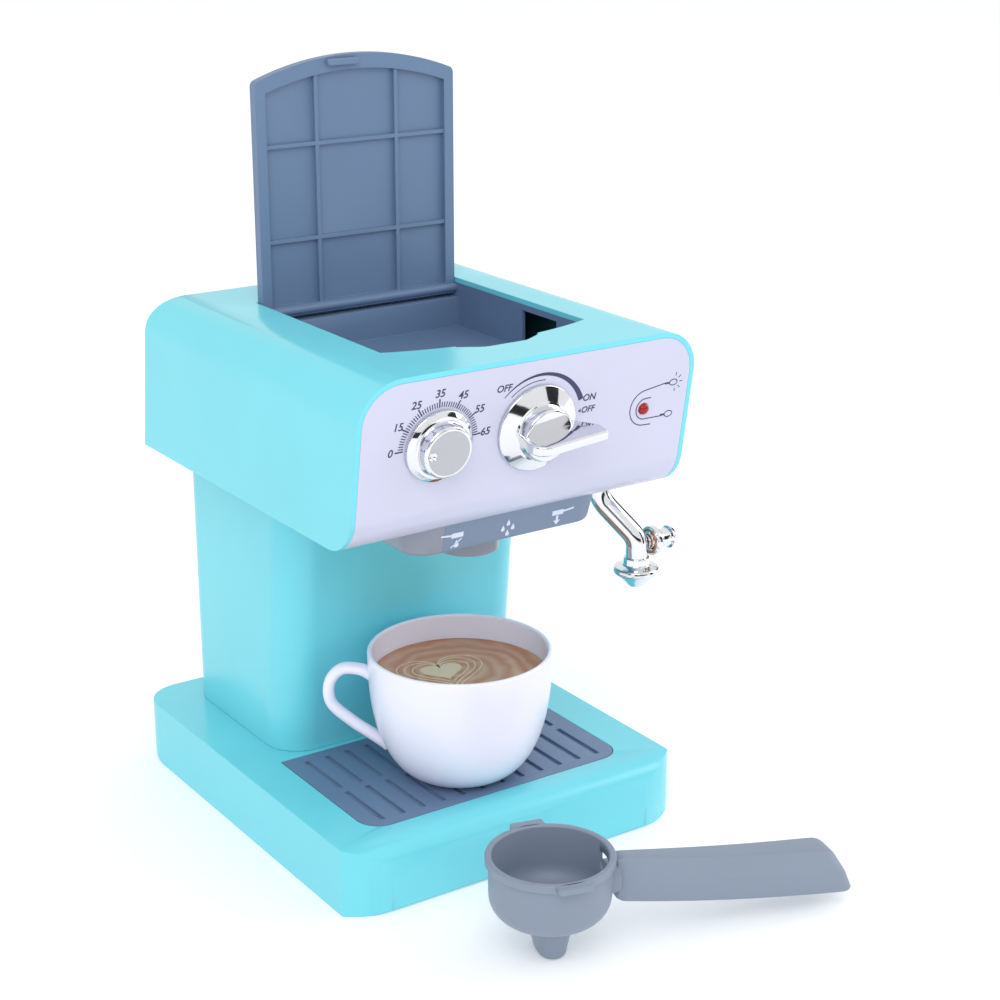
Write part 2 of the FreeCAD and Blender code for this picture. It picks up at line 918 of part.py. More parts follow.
def make_head():
    outer = head_solid("head_outer", 0.0, 0.0, 0.0, 0.0, 0.0)
    behind = head_solid("head_behind_panel", 0.0, size.panel_thick, size.panel_thick, 0.0, 0.0)
    region = panel_region("panel_region_shell", size.panel_rim)
    skin = cut("panel_skin", outer, behind)
    seat = common("panel_seat", skin, region)
    front_wall = size.wall + size.panel_thick
    inner = head_solid("head_inner", size.wall, front_wall, front_wall, size.wall, size.wall)
    mouth = bin_outline("head_mouth", 0.0, size.head_top - 2 * size.wall, size.head_top + 1.0, bin_back)
    notch = notch_tool("head_notch", size.head_top - 2 * size.wall, size.head_top + 1.0)
    throat = box(
        "head_throat",
        (-half_column + 12.0, 10.0, size.head_low - 1.0),
        (half_column - 12.0, size.column_back - 14.0, size.head_low + front_wall + 1.0),
    )
    holes = [
        drill("dial_hole", size.shaft_radius + size.shaft_hole_clear, size.dial_x, size.dial_z),
        drill("knob_hole", size.shaft_radius + size.shaft_hole_clear, size.knob_x, size.knob_z),
        drill("lamp_hole", size.lamp_radius, size.lamp_x, size.lamp_z),
    ]
    socket = cylinder("wand_bore", size.wand_radius + 0.3, 20.0, size.wand_x, size.wand_y, size.head_low - 10.0)
    shell = cut("head_shell", outer, seat, inner, mouth, notch, throat, socket, *holes)
    panel_blank = common("panel_blank", skin, panel_region("panel_region_plate", size.panel_rim))
    panel_holes = [
        drill("panel_dial_hole", size.shaft_radius + size.shaft_hole_clear, size.dial_x, size.dial_z),
        drill("panel_knob_hole", size.shaft_radius + size.shaft_hole_clear, size.knob_x, size.knob_z),
        drill("panel_lamp_hole", size.lamp_radius, size.lamp_x, size.lamp_z),
    ]
    panel = cut("front_panel", panel_blank, *panel_holes)
    return shell, panel


def notch_tool(name, low, top, extra=0.0):
    """The finger notch in the middle of the bin's front edge, or its wall's outside."""
    body = new_body(name)
    sketch = new_sketch(body, "XY_Plane", low)
    edge = -(size.bin_front + size.bin_bow + extra)
    half = size.notch_wide / 2 + extra
    flat = half / 2
    points = [
        (-half, edge + 6.0),
        (-half, edge),
        (-flat, edge - size.notch_deep),
        (flat, edge - size.notch_deep),
        (half, edge),
        (half, edge + 6.0),
    ]
    outline(sketch, points)
    pad(body, sketch, term(top) - low)
    fillet(body, lambda e: runs_along(e, Z) and e.CenterOfMass.y < term(edge).value - 2, 7.0)
    return body


def make_bin():
    """The liner that hangs under the head's top, with bores for the lid's pins."""
    top = size.head_top - size.wall
    floor_low = size.bin_floor - size.bin_wall
    outer = fuse(
        "liner_outer",
        bin_outline("liner_block", size.bin_wall, floor_low, top, bin_back + size.bin_wall),
        notch_tool("liner_notch_block", floor_low, top, size.bin_wall),
    )
    room = bin_outline("liner_room", 0.0, size.bin_floor, top + 1.0, size.bin_back_wall)
    bay = notch_tool("liner_notch_room", size.bin_floor, top + 1.0)
    step = box(
        "liner_step",
        (-half_bin, size.bin_back_wall - 0.5, size.bin_step),
        (half_bin, bin_back, top + 1.0),
    )
    window = box(
        "liner_window",
        (half_bin - 1.0, -size.side_slot_front, size.side_slot_low),
        (half_bin + size.bin_wall + 1.0, -size.side_slot_back, size.side_slot_top),
    )
    bore = cylinder(
        "liner_bore",
        size.hinge_pin_radius + size.pin_clear,
        size.bin_wide + 20.0,
        -half_bin - 10.0,
        size.hinge_y,
        size.hinge_z,
        TO_RIGHT,
    )
    return cut("bin_liner", outer, room, bay, step, window, bore)


def make_lid():
    """The bin's lid, standing open: a plate with a rim, ribs and two pins at its heel."""
    half = half_bin - size.lid_gap
    heel = size.hinge_z - size.lid_heel
    shoulder = size.hinge_z + size.bin_front + size.hinge_y - size.lid_gap
    radius = (half * half + size.bin_bow * size.bin_bow) / (2 * size.bin_bow)
    back = size.hinge_y + size.lid_rise

    def lid_blank(name, inset, thick):
        body = new_body(name)
        sketch = new_sketch(body, "XZ_Plane", -back)
        side = half - inset
        low, high = heel + inset, shoulder - inset
        points = [(-side, low), (side, low), (side, high), (-side, high)]
        outline(sketch, points, {2: (0.0, high + size.bin_bow - radius, radius)})
        pad(body, sketch, thick)
        return body

    slab = lid_blank("lid_slab", 0.0, size.lid_rim_deep)
    fillet(
        slab,
        lambda e: runs_along(e, Y) and e.CenterOfMass.z > term(shoulder).value - 2,
        size.lid_corner_round,
    )
    dish = lid_blank("lid_dish", size.lid_rim_wide, size.lid_rim_deep + 1.0)
    web = box(
        "lid_web",
        (-half, back - size.lid_thick, heel),
        (half, back + 1.0, shoulder + size.bin_bow),
    )
    rib_low = back - size.lid_rim_deep + 0.8
    ribs = []
    for i, x in enumerate((-size.lid_rib_x, size.lid_rib_x)):
        ribs.append(
            box(
                f"lid_rib_up_{i}",
                (x - size.lid_rib_wide / 2, rib_low, heel),
                (x + size.lid_rib_wide / 2, back, shoulder + size.bin_bow),
            )
        )
    for i, z in enumerate((size.lid_rib_low, size.lid_rib_high)):
        ribs.append(
            box(
                f"lid_rib_across_{i}",
                (-half, rib_low, z - size.lid_rib_wide / 2),
                (half, back, z + size.lid_rib_wide / 2),
            )
        )
    dish_cut = cut("lid_dish_cut", dish, web, *ribs)
    plate = cut("lid_plate", slab, dish_cut)
    pins = cylinder(
        "lid_pins",
        size.hinge_pin_radius,
        size.bin_wide + 2 * size.bin_wall,
        -half_bin - size.bin_wall,
        size.hinge_y,
        size.hinge_z,
        TO_RIGHT,
    )
    return fuse("lid", plate, pins)


# Controls

def on_panel(thing, x, z, out):
    """Stands a piece on the panel's face with its axis square to it."""
    lean = math.radians(tilt())
    y = face_y(z) - term(out) * math.cos(lean)
    return put(thing, x, y, z - term(out) * math.sin(lean), TO_PANEL)


def make_dial():
    body = new_body("timer_dial")
    sketch = new_sketch(body, "XZ_Plane")
    flange, inner = size.dial_flange_radius, size.dial_body_radius
    thick, high = size.dial_flange_thick, size.dial_high
    points = [
        (0.0, 0.0),
        (flange, 0.0),
        (flange, thick / 2),
        (flange - 2.0, thick),
        (inner + 0.6, thick),
        (inner, high - 1.5),
        (inner - 1.5, high),
        (0.0, high),
    ]
    outline(sketch, points)
    revolve(body, sketch, "V_Axis")
    return on_panel(body, size.dial_x, size.dial_z, size.control_gap)


def make_knob():
    body = new_body("mode_knob")
    sketch = new_sketch(body, "XZ_Plane")
    flange, boss = size.knob_flange_radius, size.knob_boss_radius
    thick, high = size.knob_flange_thick, size.knob_boss_high
    points = [
        (0.0, 0.0),
        (flange, 0.0),
        (flange, thick / 2),
        (flange - 2.5, thick),
        (boss + 1.5, thick),
        (boss, high - 1.5),
        (boss - 1.5, high),
        (0.0, high),
    ]
    outline(sketch, points)
    revolve(body, sketch, "V_Axis")
    sketch = new_sketch(body, "XZ_Plane")
    left, right = -size.lever_left, size.lever_right
    points = [(left, high / 2), (right - 10.0, high / 2), (right, size.lever_high - 6.0), (right, size.lever_high), (left, size.lever_high)]
    outline(sketch, points)
    pad(body, sketch, size.lever_thick, midplane=True)
    fillet(body, lambda e: runs_along(e, Y) and e.CenterOfMass.z > SIZES["lever_high"] - 1, size.lever_round)
    return on_panel(body, size.knob_x, size.knob_z, size.control_gap)


def make_shaft(name, x, z):
    thing = cylinder(name, size.shaft_radius, size.shaft_long, 0.0, 0.0, 0.0)
    thing.Label = name
    return on_panel(thing, x, z, size.control_gap - size.shaft_long)


def make_housing(name, x, z, wide, deep):
    """A block behind the front wall with a running bore for its shaft.

    The wall grows thicker downwards, so the block's lower edge seats on it first.
    """
    block = box(f"{name}_block", (-wide / 2, -wide / 2, 0.0), (wide / 2, wide / 2, deep))
    bore = cylinder(f"{name}_bore", size.shaft_radius + size.pin_clear, deep, 0.0, 0.0, 0.0)
    whole = cut(name, block, bore)
    return on_panel(whole, x, z, -(size.wall + size.panel_thick + size.housing_seat + deep))


def make_lamp():
    body = new_body("lamp_lens")
    sketch = new_sketch(body, "XZ_Plane")
    r, long = size.lamp_radius, size.lamp_long
    points = [(0.0, 0.0), (r, 0.0), (r, long - 1.6), (r * 0.62, long - 0.5), (0.0, long)]
    outline(sketch, points)
    revolve(body, sketch, "V_Axis")
    return on_panel(body, size.lamp_x, size.lamp_z, 2.0 - size.lamp_long)


# Brew head

def make_brew_head():
    """The block under the head, cut to lie against the underside and the chin's curve."""
    blank = new_body("brew_blank")
    sketch = new_sketch(blank, "XY_Plane", size.brew_low)
    half = size.brew_wide / 2
    front, back = -size.brew_front, -size.brew_back
    outline(sketch, [(-half, front), (half, front), (half, back), (-half, back)])
    pad(blank, sketch, size.head_low + size.head_chin_round - size.brew_low)
    fillet(
        blank,
        lambda e: runs_along(e, Z) and e.CenterOfMass.y < front.value + 1,
        size.brew_round,
    )
    return cut("brew_head", blank, head_solid("brew_seat", 0.0, 0.0, 0.0, 0.0, 0.0))


def make_outlet():
    outer = cylinder("outlet_outer", size.outlet_radius, size.brew_low - size.outlet_low, 0.0, -size.outlet_y, size.outlet_low)
    bore = cylinder("outlet_bore_tool", size.outlet_bore, size.outlet_bore_deep, 0.0, -size.outlet_y, size.outlet_low)
    return cut("brew_outlet", outer, bore)


# Steam wand

wand_turn = SIZES["wand_heading"]


def make_wand():
    """A tube that drops from its collar, swings out and drops again, swept on tangent arcs."""
    radius, bend = SIZES["wand_radius"], SIZES["wand_bend"]
    reach, drop = SIZES["wand_reach"], SIZES["wand_drop"]
    start = Vector(0, 0, SIZES["wall"] + SIZES["panel_thick"])
    first = Vector(0, 0, -SIZES["wand_collar_high"] - bend * 0.42)
    knee = Vector(reach, 0, SIZES["wand_end_run"] - drop)
    end = Vector(reach, 0, -drop)
    path = rounded_path([start, first, knee, end], bend)
    section = Part.Wire([Part.Circle(start, Vector(0, 0, -1), radius).toShape()])
    tube = Part.Wire(path).makePipeShell([section], True, False)
    body = doc.addObject("Part::Feature", "steam_wand_tube")
    body.Shape = tube
    body.Placement = FreeCAD.Placement(Vector(0, 0, 0), FreeCAD.Rotation(Z, wand_turn))
    for name, value in (("x", size.wand_x), ("y", size.wand_y), ("z", size.head_low)):
        bind(body, f".Placement.Base.{name}", value)
    body.Label = "steam_wand_tube"
    return body, end


def rounded_path(points, radius):
    """Straight runs joined by tangent arcs of one radius, cut down where a run is short."""
    edges = []
    here = points[0]
    for before, corner, after in zip(points, points[1:], points[2:]):
        a = (before - corner).normalize()
        b = (after - corner).normalize()
        half_turn = (math.pi - a.getAngle(b)) / 2
        shorter = min((before - corner).Length, (after - corner).Length)
        reach = min(radius * math.tan(half_turn), 0.45 * shorter)
        enter, leave = corner + a * reach, corner + b * reach
        middle_way = (a + b).normalize()
        bend = reach / math.tan(half_turn)
        middle = corner + middle_way * (bend / math.cos(half_turn) - bend)
        edges.append(Part.LineSegment(here, enter).toShape())
        edges.append(Part.Arc(enter, middle, leave).toShape())
        here = leave
    edges.append(Part.LineSegment(here, points[-1]).toShape())
    return edges


def wand_point(end):
    """Where the wand's tube ends, in the model's frame."""
    turned = FreeCAD.Rotation(Z, wand_turn).multVec(end)
    return size.wand_x + turned.x, size.wand_y + turned.y, size.head_low + turned.z


def make_bell(end):
    body = new_body("steam_nozzle")
    sketch = new_sketch(body, "XZ_Plane")
    r, high, tube = size.bell_radius, size.bell_high, size.wand_radius
    points = [
        (0.0, 0.0),
        (4.0, 0.0),
        (5.0, 2.0),
        (r * 0.8, 3.5),
        (r, high * 0.5),
        (r - 1.5, high * 0.68),
        (tube + 1.2, high * 0.75),
        (tube + 0.6, high),
        (0.0, high),
    ]
    outline(sketch, points)
    revolve(body, sketch, "V_Axis")
    x, y, z = wand_point(end)
    return put(body, x, y, z - size.bell_high)


def make_valve(end):
    body = new_body("steam_valve")
    sketch = new_sketch(body, "XZ_Plane")
    r, long = size.valve_radius, size.valve_long
    points = [
        (0.0, 0.0),
        (2.5, 0.0),
        (2.5, long * 0.25),
        (r, long * 0.3),
        (r, long * 0.5),
        (r * 0.55, long * 0.62),
        (r * 0.6, long * 0.9),
        (r * 0.45, long),
        (0.0, long),
    ]
    outline(sketch, points)
    revolve(body, sketch, "V_Axis")
    x, y, z = wand_point(end)
    return put(body, x + size.wand_radius, y, z + 6.0, TO_RIGHT)


def make_collar():
    outer = cylinder(
        "collar_outer",
        size.wand_collar_radius,
        size.wand_collar_high,
        size.wand_x,
        size.wand_y,
        size.head_low - size.wand_collar_high,
    )
    bore = cylinder(
        "collar_bore",
        size.wand_radius + size.pin_clear,
        size.wand_collar_high,
        size.wand_x,
        size.wand_y,
        size.head_low - size.wand_collar_high,
    )
    return cut("wand_collar", outer, bore)


# Cup

cup_low = size.base_high + size.cup_seat_gap


def cup_points(inset):
    """Half of the cup's bowl-shaped section, from the foot to the rim."""
    rim, foot, high = size.cup_rim_radius, size.cup_foot_radius, size.cup_high
    return [
        (foot - inset, term(inset)),
        (foot + (rim - foot) * 0.42 - inset, high * 0.085 + inset),
        (foot + (rim - foot) * 0.72 - inset, high * 0.26),
        (foot + (rim - foot) * 0.90 - inset, high * 0.50),
        (rim - 0.5 - inset, high * 0.80),
        (rim - inset, high),
    ]


def make_cup():
    body = new_body("cup_bowl")
    sketch = new_sketch(body, "XZ_Plane")
    outside = cup_points(0.0)
    inside = cup_points(size.cup_wall)
    points = [(0.0, 0.0)] + outside + list(reversed(inside)) + [(0.0, size.cup_wall)]
    outline(sketch, points)
    revolve(body, sketch, "V_Axis")
    put(body, size.cup_x, size.cup_y, cup_low)
    handle = doc.addObject("Part::Feature", "cup_handle_loop")
    handle.Shape = cup_handle()
    handle.Placement = FreeCAD.Placement(Vector(0, 0, 0), FreeCAD.Rotation(Z, SIZES["cup_handle_turn"]))
    for name, value in (("x", size.cup_x), ("y", size.cup_y), ("z", 0.0)):
        bind(handle, f".Placement.Base.{name}", value)
    core = cylinder("cup_core", size.cup_foot_radius, size.cup_high, size.cup_x, size.cup_y, cup_low + size.cup_wall)
    loop = cut("cup_loop", handle, cup_inside("cup_void"), core)
    return fuse("cup", body, loop)


def cup_inside(name):
    """The cup's inner space as a solid."""
    body = new_body(name)
    sketch = new_sketch(body, "XZ_Plane")
    outline(sketch, [(0.0, size.cup_wall)] + cup_points(size.cup_wall) + [(0.0, size.cup_high)])
    revolve(body, sketch, "V_Axis")
    return put(body, size.cup_x, size.cup_y, cup_low)


def cup_handle():
    """The ear-shaped strap, a round section swept on straight runs and tangent arcs."""
    near_top = SIZES["cup_rim_radius"] - 2.5
    near_low = SIZES["cup_rim_radius"] * 0.80
    reach, top, low = SIZES["cup_handle_reach"], SIZES["cup_handle_top"], SIZES["cup_handle_low"]
    points = [
        Vector(near_top, 0, top - 2.0),
        Vector(reach - 3.0, 0, top + 1.0),
        Vector(reach, 0, (top + low) / 2 + 2.0),
        Vector(near_low, 0, low - 3.0),
    ]
    edges = rounded_path(points, 13.0)
    along = (points[1] - points[0]).normalize()
    section = Part.Wire([Part.Circle(points[0], along, SIZES["cup_handle_radius"]).toShape()])
    return Part.Wire(edges).makePipeShell([section], True, False)


def make_coffee():
    top = cup_low + size.cup_high - size.coffee_deep
    blank = cylinder("coffee_blank", size.cup_rim_radius, size.coffee_thick, size.cup_x, size.cup_y, top - size.coffee_thick)
    whole = common("coffee_disc", blank, cup_inside("coffee_void"))
    return whole


# Portafilter

FILTER_TURN = FreeCAD.Rotation(Z, SIZES["filter_turn"])


def make_bowl():
    body = new_body("bowl_cup")
    sketch = new_sketch(body, "XZ_Plane")
    r, bore = size.bowl_radius, size.bowl_bore
    top, low, floor = size.bowl_top, size.bowl_low, size.bowl_floor
    bevel = size.bowl_round
    points = [
        (0.0, low),
        (r - bevel, low),
        (r - 1.5 - bevel * 0.25, low + bevel * 0.30),
        (r - 1.5, low + bevel),
        (r - 1.5, top - 4.0),
        (r, top - 3.0),
        (r, top),
        (bore, top),
        (bore, low + bevel + floor / 2),
        (bore - bevel * 0.3, low + bevel * 0.35 + floor),
        (bore - bevel, low + floor),
        (0.0, low + floor),
    ]
    outline(sketch, points)
    revolve(body, sketch, "V_Axis")
    reach = size.bowl_radius + size.lug_reach
    lugs = box(
        "bowl_lugs",
        (-size.lug_wide / 2, -reach, size.bowl_top - size.lug_thick),
        (size.lug_wide / 2, reach, size.bowl_top),
    )
    bore_tool = cylinder("bowl_bore_tool", size.bowl_bore, size.bowl_top, 0.0, 0.0, size.bowl_low + size.bowl_round)
    lug_ring = cut("bowl_lug_ring", lugs, bore_tool)
    window = box("bowl_window", (size.bowl_bore - 4.0, -5.0, size.bowl_top - 12.0), (size.bowl_radius + 1.0, 5.0, size.bowl_top - 4.5))
    whole = cut("portafilter_bowl", fuse("bowl_with_lugs", body, lug_ring), window)
    return put(whole, size.filter_x, size.filter_y, 0.0, FILTER_TURN)


def make_spout():
    """A collar under the bowl that splits into two round outlets."""
    collar = cylinder(
        "spout_collar", size.spout_collar_radius, size.bowl_low - size.spout_collar_low, 0.0, 0.0, size.spout_collar_low
    )
    lobes = [
        cylinder(f"spout_lobe_{i}", size.spout_lobe_radius, size.spout_collar_low, 0.0, sign * size.spout_spread, 0.0)
        for i, sign in enumerate((-1, 1))
    ]
    bores = [
        cylinder(f"spout_bore_{i}", size.spout_lobe_radius - 1.6, 6.0, 0.0, sign * size.spout_spread, 0.0)
        for i, sign in enumerate((-1, 1))
    ]
    whole = cut("portafilter_spout", fuse("spout_solid", collar, *lobes), *bores)
    return put(whole, size.filter_x, size.filter_y, 0.0, FILTER_TURN)


def make_handle():
    """The grip: a ruled loft that widens and droops towards its far end."""
    def section(along, z, wide, high):
        body_points = [(-0.5, 0.15), (-0.25, 0.5), (0.25, 0.5), (0.5, 0.15), (0.38, -0.5), (-0.38, -0.5)]
        spots = [Vector(along, y * wide, z + u * high) for y, u in body_points]
        return Part.makePolygon(spots + [spots[0]])

    start, end = SIZES["handle_start"], SIZES["handle_end"]
    wires = []
    for share in (0.0, 0.12, 0.35, 0.7, 1.0):
        ease = share ** 0.7
        wires.append(
            section(
                start + (end - start) * share,
                SIZES["handle_start_z"] + (SIZES["handle_end_z"] - SIZES["handle_start_z"]) * share,
                SIZES["handle_start_wide"] + (SIZES["handle_end_wide"] - SIZES["handle_start_wide"]) * ease,
                SIZES["handle_start_high"] + (SIZES["handle_end_high"] - SIZES["handle_start_high"]) * share,
            )
        )
    grip = doc.addObject("Part::Feature", "handle_grip")
    grip.Shape = Part.makeLoft(wires, True, True)
    neck = cylinder(
        "handle_neck",
        size.neck_radius,
        size.handle_start - size.bowl_radius + 4.0,
        size.bowl_radius - 1.5,
        0.0,
        size.handle_start_z,
        TO_RIGHT,
    )
    whole = fuse("portafilter_handle", grip, neck)
    return put(whole, size.filter_x, size.filter_y, 0.0, FILTER_TURN)


# Electronics in the head

def make_board():
    board = box(
        "circuit_board",
        (-size.board_wide / 2, -30.0, size.board_z),
        (size.board_wide / 2, -30.0 + size.board_high, size.board_z + size.board_thick),
    )
    board.Label = "circuit_board"
    return board


def make_board_posts():
    posts = []
    low = size.head_low + size.wall + size.panel_thick
    for i, (sx, sy) in enumerate(SCREW_SPOTS):
        x = sx * (size.board_wide / 2 - 5.0)
        y = -30.0 + size.board_high / 2 + sy * (size.board_high / 2 - 5.0)
        posts.append(cylinder(f"board_post_{i}", size.post_radius, size.board_z - low, x, y, low))
    return group("board_standoffs", *posts)


nodes = []


def build():
    nodes.append(make_base())
    nodes.append(make_base_plate())
    nodes.append(make_feet())
    nodes.append(make_base_screws())
    nodes.append(make_tray())
    nodes.append(make_battery_box())
    nodes.append(make_batteries())
    nodes.append(make_contacts())
    nodes.append(make_battery_door())
    nodes.append(make_door_screw())
    nodes.append(make_speaker())
    nodes.append(make_column())
    nodes.append(make_rear_cover())
    nodes.append(make_cover_screws())
    nodes.extend(make_head())
    nodes.append(make_bin())
    nodes.append(make_lid())
    nodes.append(make_dial())
    nodes.append(make_knob())
    nodes.append(make_shaft("timer_shaft", size.dial_x, size.dial_z))
    nodes.append(make_shaft("mode_shaft", size.knob_x, size.knob_z))
    nodes.append(make_housing("timer_ratchet", size.dial_x, size.dial_z, size.timer_box_wide, size.timer_box_deep))
    nodes.append(make_housing("mode_switch", size.knob_x, size.knob_z, size.switch_box_wide, size.switch_box_deep))
    nodes.append(make_lamp())
    nodes.append(make_brew_head())
    nodes.append(make_outlet())
    wand, end = make_wand()
    nodes.append(wand)
    nodes.append(make_bell(end))
    nodes.append(make_valve(end))
    nodes.append(make_collar())
    nodes.append(make_cup())
    nodes.append(make_coffee())
    nodes.append(make_bowl())
    nodes.append(make_spout())
    nodes.append(make_handle())
    nodes.append(make_board())
    nodes.append(make_board_posts())


def check_and_write():
    """Stops at a failed object or a bad shape, then writes one STEP file for each piece."""
    doc.recompute()
    for thing in doc.Objects:
        if {"Invalid", "Error"} & set(thing.State):
            raise RuntimeError(f"{thing.Name} is {thing.State}")
    for node in nodes:
        shape = node.Shape
        if shape.isNull() or not shape.isValid() or not shape.Solids:
            raise RuntimeError(f"{node.Label}: bad shape")
        shape.exportStep(f"parts/{node.Label}.step")
        low, high = shape.BoundBox.ZMin, shape.BoundBox.ZMax
        print(f"{node.Label}: {len(shape.Solids)} solids, {shape.Volume:.0f} mm3, z {low:.1f} to {high:.1f}")


build()
check_and_write()
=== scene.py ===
"""Dresses a toy coffee maker: casing, bin and lid, controls, brew head, wand, cup and portafilter."""

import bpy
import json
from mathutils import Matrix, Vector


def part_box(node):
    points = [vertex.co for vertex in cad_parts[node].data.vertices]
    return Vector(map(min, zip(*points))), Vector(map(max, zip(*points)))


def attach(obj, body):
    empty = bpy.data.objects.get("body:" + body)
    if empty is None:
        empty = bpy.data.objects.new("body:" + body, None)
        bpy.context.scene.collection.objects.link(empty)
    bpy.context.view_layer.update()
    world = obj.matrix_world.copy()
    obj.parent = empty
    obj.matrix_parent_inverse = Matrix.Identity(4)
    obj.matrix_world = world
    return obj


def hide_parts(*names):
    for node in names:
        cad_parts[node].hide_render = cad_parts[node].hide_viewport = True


bl_info = {
    "name": "Toy Coffee Maker",
    "version": (1, 0, 0),
    "blender": (4, 5, 0),
    "location": "View3D > Sidebar > Coffee Maker",
    "description": "Builds the finished surfaces of a toy coffee maker around its packed frame",
    "category": "Object",
}

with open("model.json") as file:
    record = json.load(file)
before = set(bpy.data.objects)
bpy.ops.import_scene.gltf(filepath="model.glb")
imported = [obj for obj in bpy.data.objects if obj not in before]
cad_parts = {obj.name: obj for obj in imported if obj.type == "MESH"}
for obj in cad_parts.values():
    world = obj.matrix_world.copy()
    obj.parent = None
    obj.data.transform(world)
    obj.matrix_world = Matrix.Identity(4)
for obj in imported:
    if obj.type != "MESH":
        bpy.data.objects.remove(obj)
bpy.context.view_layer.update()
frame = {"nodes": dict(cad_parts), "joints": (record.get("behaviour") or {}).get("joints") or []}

import json
import math

import bmesh
import bpy
import numpy as np
from bpy.props import FloatProperty, FloatVectorProperty, IntProperty, PointerProperty
from mathutils import Vector

MM = 0.001
JOINTS = {joint["name"]: joint for joint in frame["joints"]}


def linear(code):
    """An sRGB hex colour as linear red, green and blue."""
    parts = np.array([int(code[i : i + 2], 16) for i in (0, 2, 4)]) / 255
    return tuple(np.where(parts <= 0.04045, parts / 12.92, ((parts + 0.055) / 1.055) ** 2.4).tolist())


def colour(code, name, words):
    """A colour setting whose default is an sRGB hex value."""
    return FloatVectorProperty(
        name=name, description=words, subtype="COLOR", size=3, min=0, max=1, default=linear(code)
    )


def length(mm, name, words):
    """A length setting whose default is given in millimetres."""
    return FloatProperty(name=name, description=words, unit="LENGTH", default=mm * MM, precision=5)


def degrees(value, name, words):
    """An angle setting whose default is given in degrees."""
    return FloatProperty(name=name, description=words, subtype="ANGLE", default=math.radians(value))


class CoffeeStageSettings(bpy.types.PropertyGroup):
    """Camera, floor and lamps."""

    eye_x: length(-469.35, "Eye X", "Camera place to the right of the middle")
    eye_y: length(-776.6, "Eye Y", "Camera place behind the middle")
    eye_z: length(454.5, "Eye Z", "Camera height")
    yaw: degrees(34.203, "Yaw", "How far the camera looks to the right of straight ahead")
    pitch: degrees(18.701, "Pitch", "How far the camera looks down")
    lens: FloatProperty(name="Lens", description="Focal length on a 36 mm sensor", default=72.765)
    floor: colour("F4F5F7", "Floor", "Colour of the floor")
    key: FloatProperty(name="Key", description="Strength of the large lamp in front", default=13.5)
    fill: FloatProperty(name="Fill", description="Strength of the lamp on the right", default=6.0)
    sky: FloatProperty(name="Sky", description="Strength of the even light", default=0.9)


class CoffeeCasingSettings(bpy.types.PropertyGroup):
    """Colours and edges of the moulded casings."""

    turquoise: colour("70D4E2", "Turquoise", "Casing colour")
    panel: colour("C6C8DE", "Panel", "Front panel colour")
    slate: colour("627A9A", "Slate", "Bin, lid and tray colour")
    brew: colour("858A98", "Brew head", "Brew head colour")
    edge: length(0.5, "Edge", "Radius of the moulded edges")
    tab_wide: length(16.0, "Tab width", "Width of the lid's finger tab")
    tab_deep: length(1.4, "Tab depth", "How far the lid's finger tab stands out")


class CoffeeControlSettings(bpy.types.PropertyGroup):
    """Dial, knob, lamp and the marks printed round them."""

    ink: colour("30375C", "Ink", "Colour of the printed marks")
    pale_ink: colour("D0D5EA", "Pale ink", "Colour of the signs on the brew head")
    decal: colour("70829A", "Band", "Colour of the band on the brew head")
    red: colour("B0101C", "Lamp", "Colour of the lamp's lens")
    flange: length(16.0, "Dial flange", "Radius of the dial's flange")
    body: length(11.5, "Dial body", "Radius of the dial's body")
    dial_high: length(8.5, "Dial height", "Height of the dial above its seat")
    knob_flange: length(19.5, "Knob flange", "Radius of the knob's flange")
    knob_boss: length(12.0, "Knob boss", "Radius of the knob's boss")
    boss_high: length(10.0, "Boss height", "Height of the knob's boss")
    lever_left: length(15.0, "Lever left", "Lever's short end from the axis")
    lever_right: length(22.0, "Lever right", "Lever's long end from the axis")
    lever_high: length(22.0, "Lever height", "How far the lever stands out")
    lever_thick: length(4.5, "Lever thickness", "Thickness of the lever")
    lever_turn: degrees(5.0, "Lever turn", "How far the long end is raised")
    number_ring: length(23.0, "Number ring", "Radius of the ring of numbers")
    scale_sweep: degrees(175.0, "Scale sweep", "Angle from the first number to the last")
    ticks_between: IntProperty(name="Ticks", description="Steps from number to number", default=8)


class CoffeeCupSettings(bpy.types.PropertyGroup):
    """Cup and coffee."""

    white: colour("E9E8F8", "Cup", "Cup colour")
    coffee: colour("B87B58", "Coffee", "Coffee colour")
    crema: colour("D9C2A4", "Crema", "Colour of the pale figure on the coffee")
    wall: length(2.0, "Wall", "Wall of the cup")
    foot: length(19.0, "Foot", "Radius of the cup's foot")
    handle_turn: degrees(148.0, "Handle turn", "Direction of the cup's handle")
    strap_wide: length(7.0, "Strap width", "Width of the handle's strap")
    strap_thick: length(5.4, "Strap thickness", "Thickness of the handle's strap")


class CoffeeFilterSettings(bpy.types.PropertyGroup):
    """Portafilter."""

    slate: colour("808C9E", "Portafilter", "Portafilter colour")
    turn: degrees(-15.0, "Turn", "Direction of the handle")
    radius: length(27.5, "Bowl radius", "Outer radius of the bowl's rim")
    bore: length(24.6, "Bowl bore", "Inner radius of the bowl")
    top: length(45.7, "Rim height", "Height of the bowl's rim")
    low: length(17.0, "Bowl base", "Height of the bowl's underside")
    floor: length(2.4, "Bowl floor", "Thickness of the bowl's floor")
    handle_end: length(134.0, "Handle end", "End of the handle from the bowl's axis")


# Shapes

TINY = 1e-12
# An arc takes no more than this share of the shorter side at its corner.
MOST_OF_SIDE = 0.48


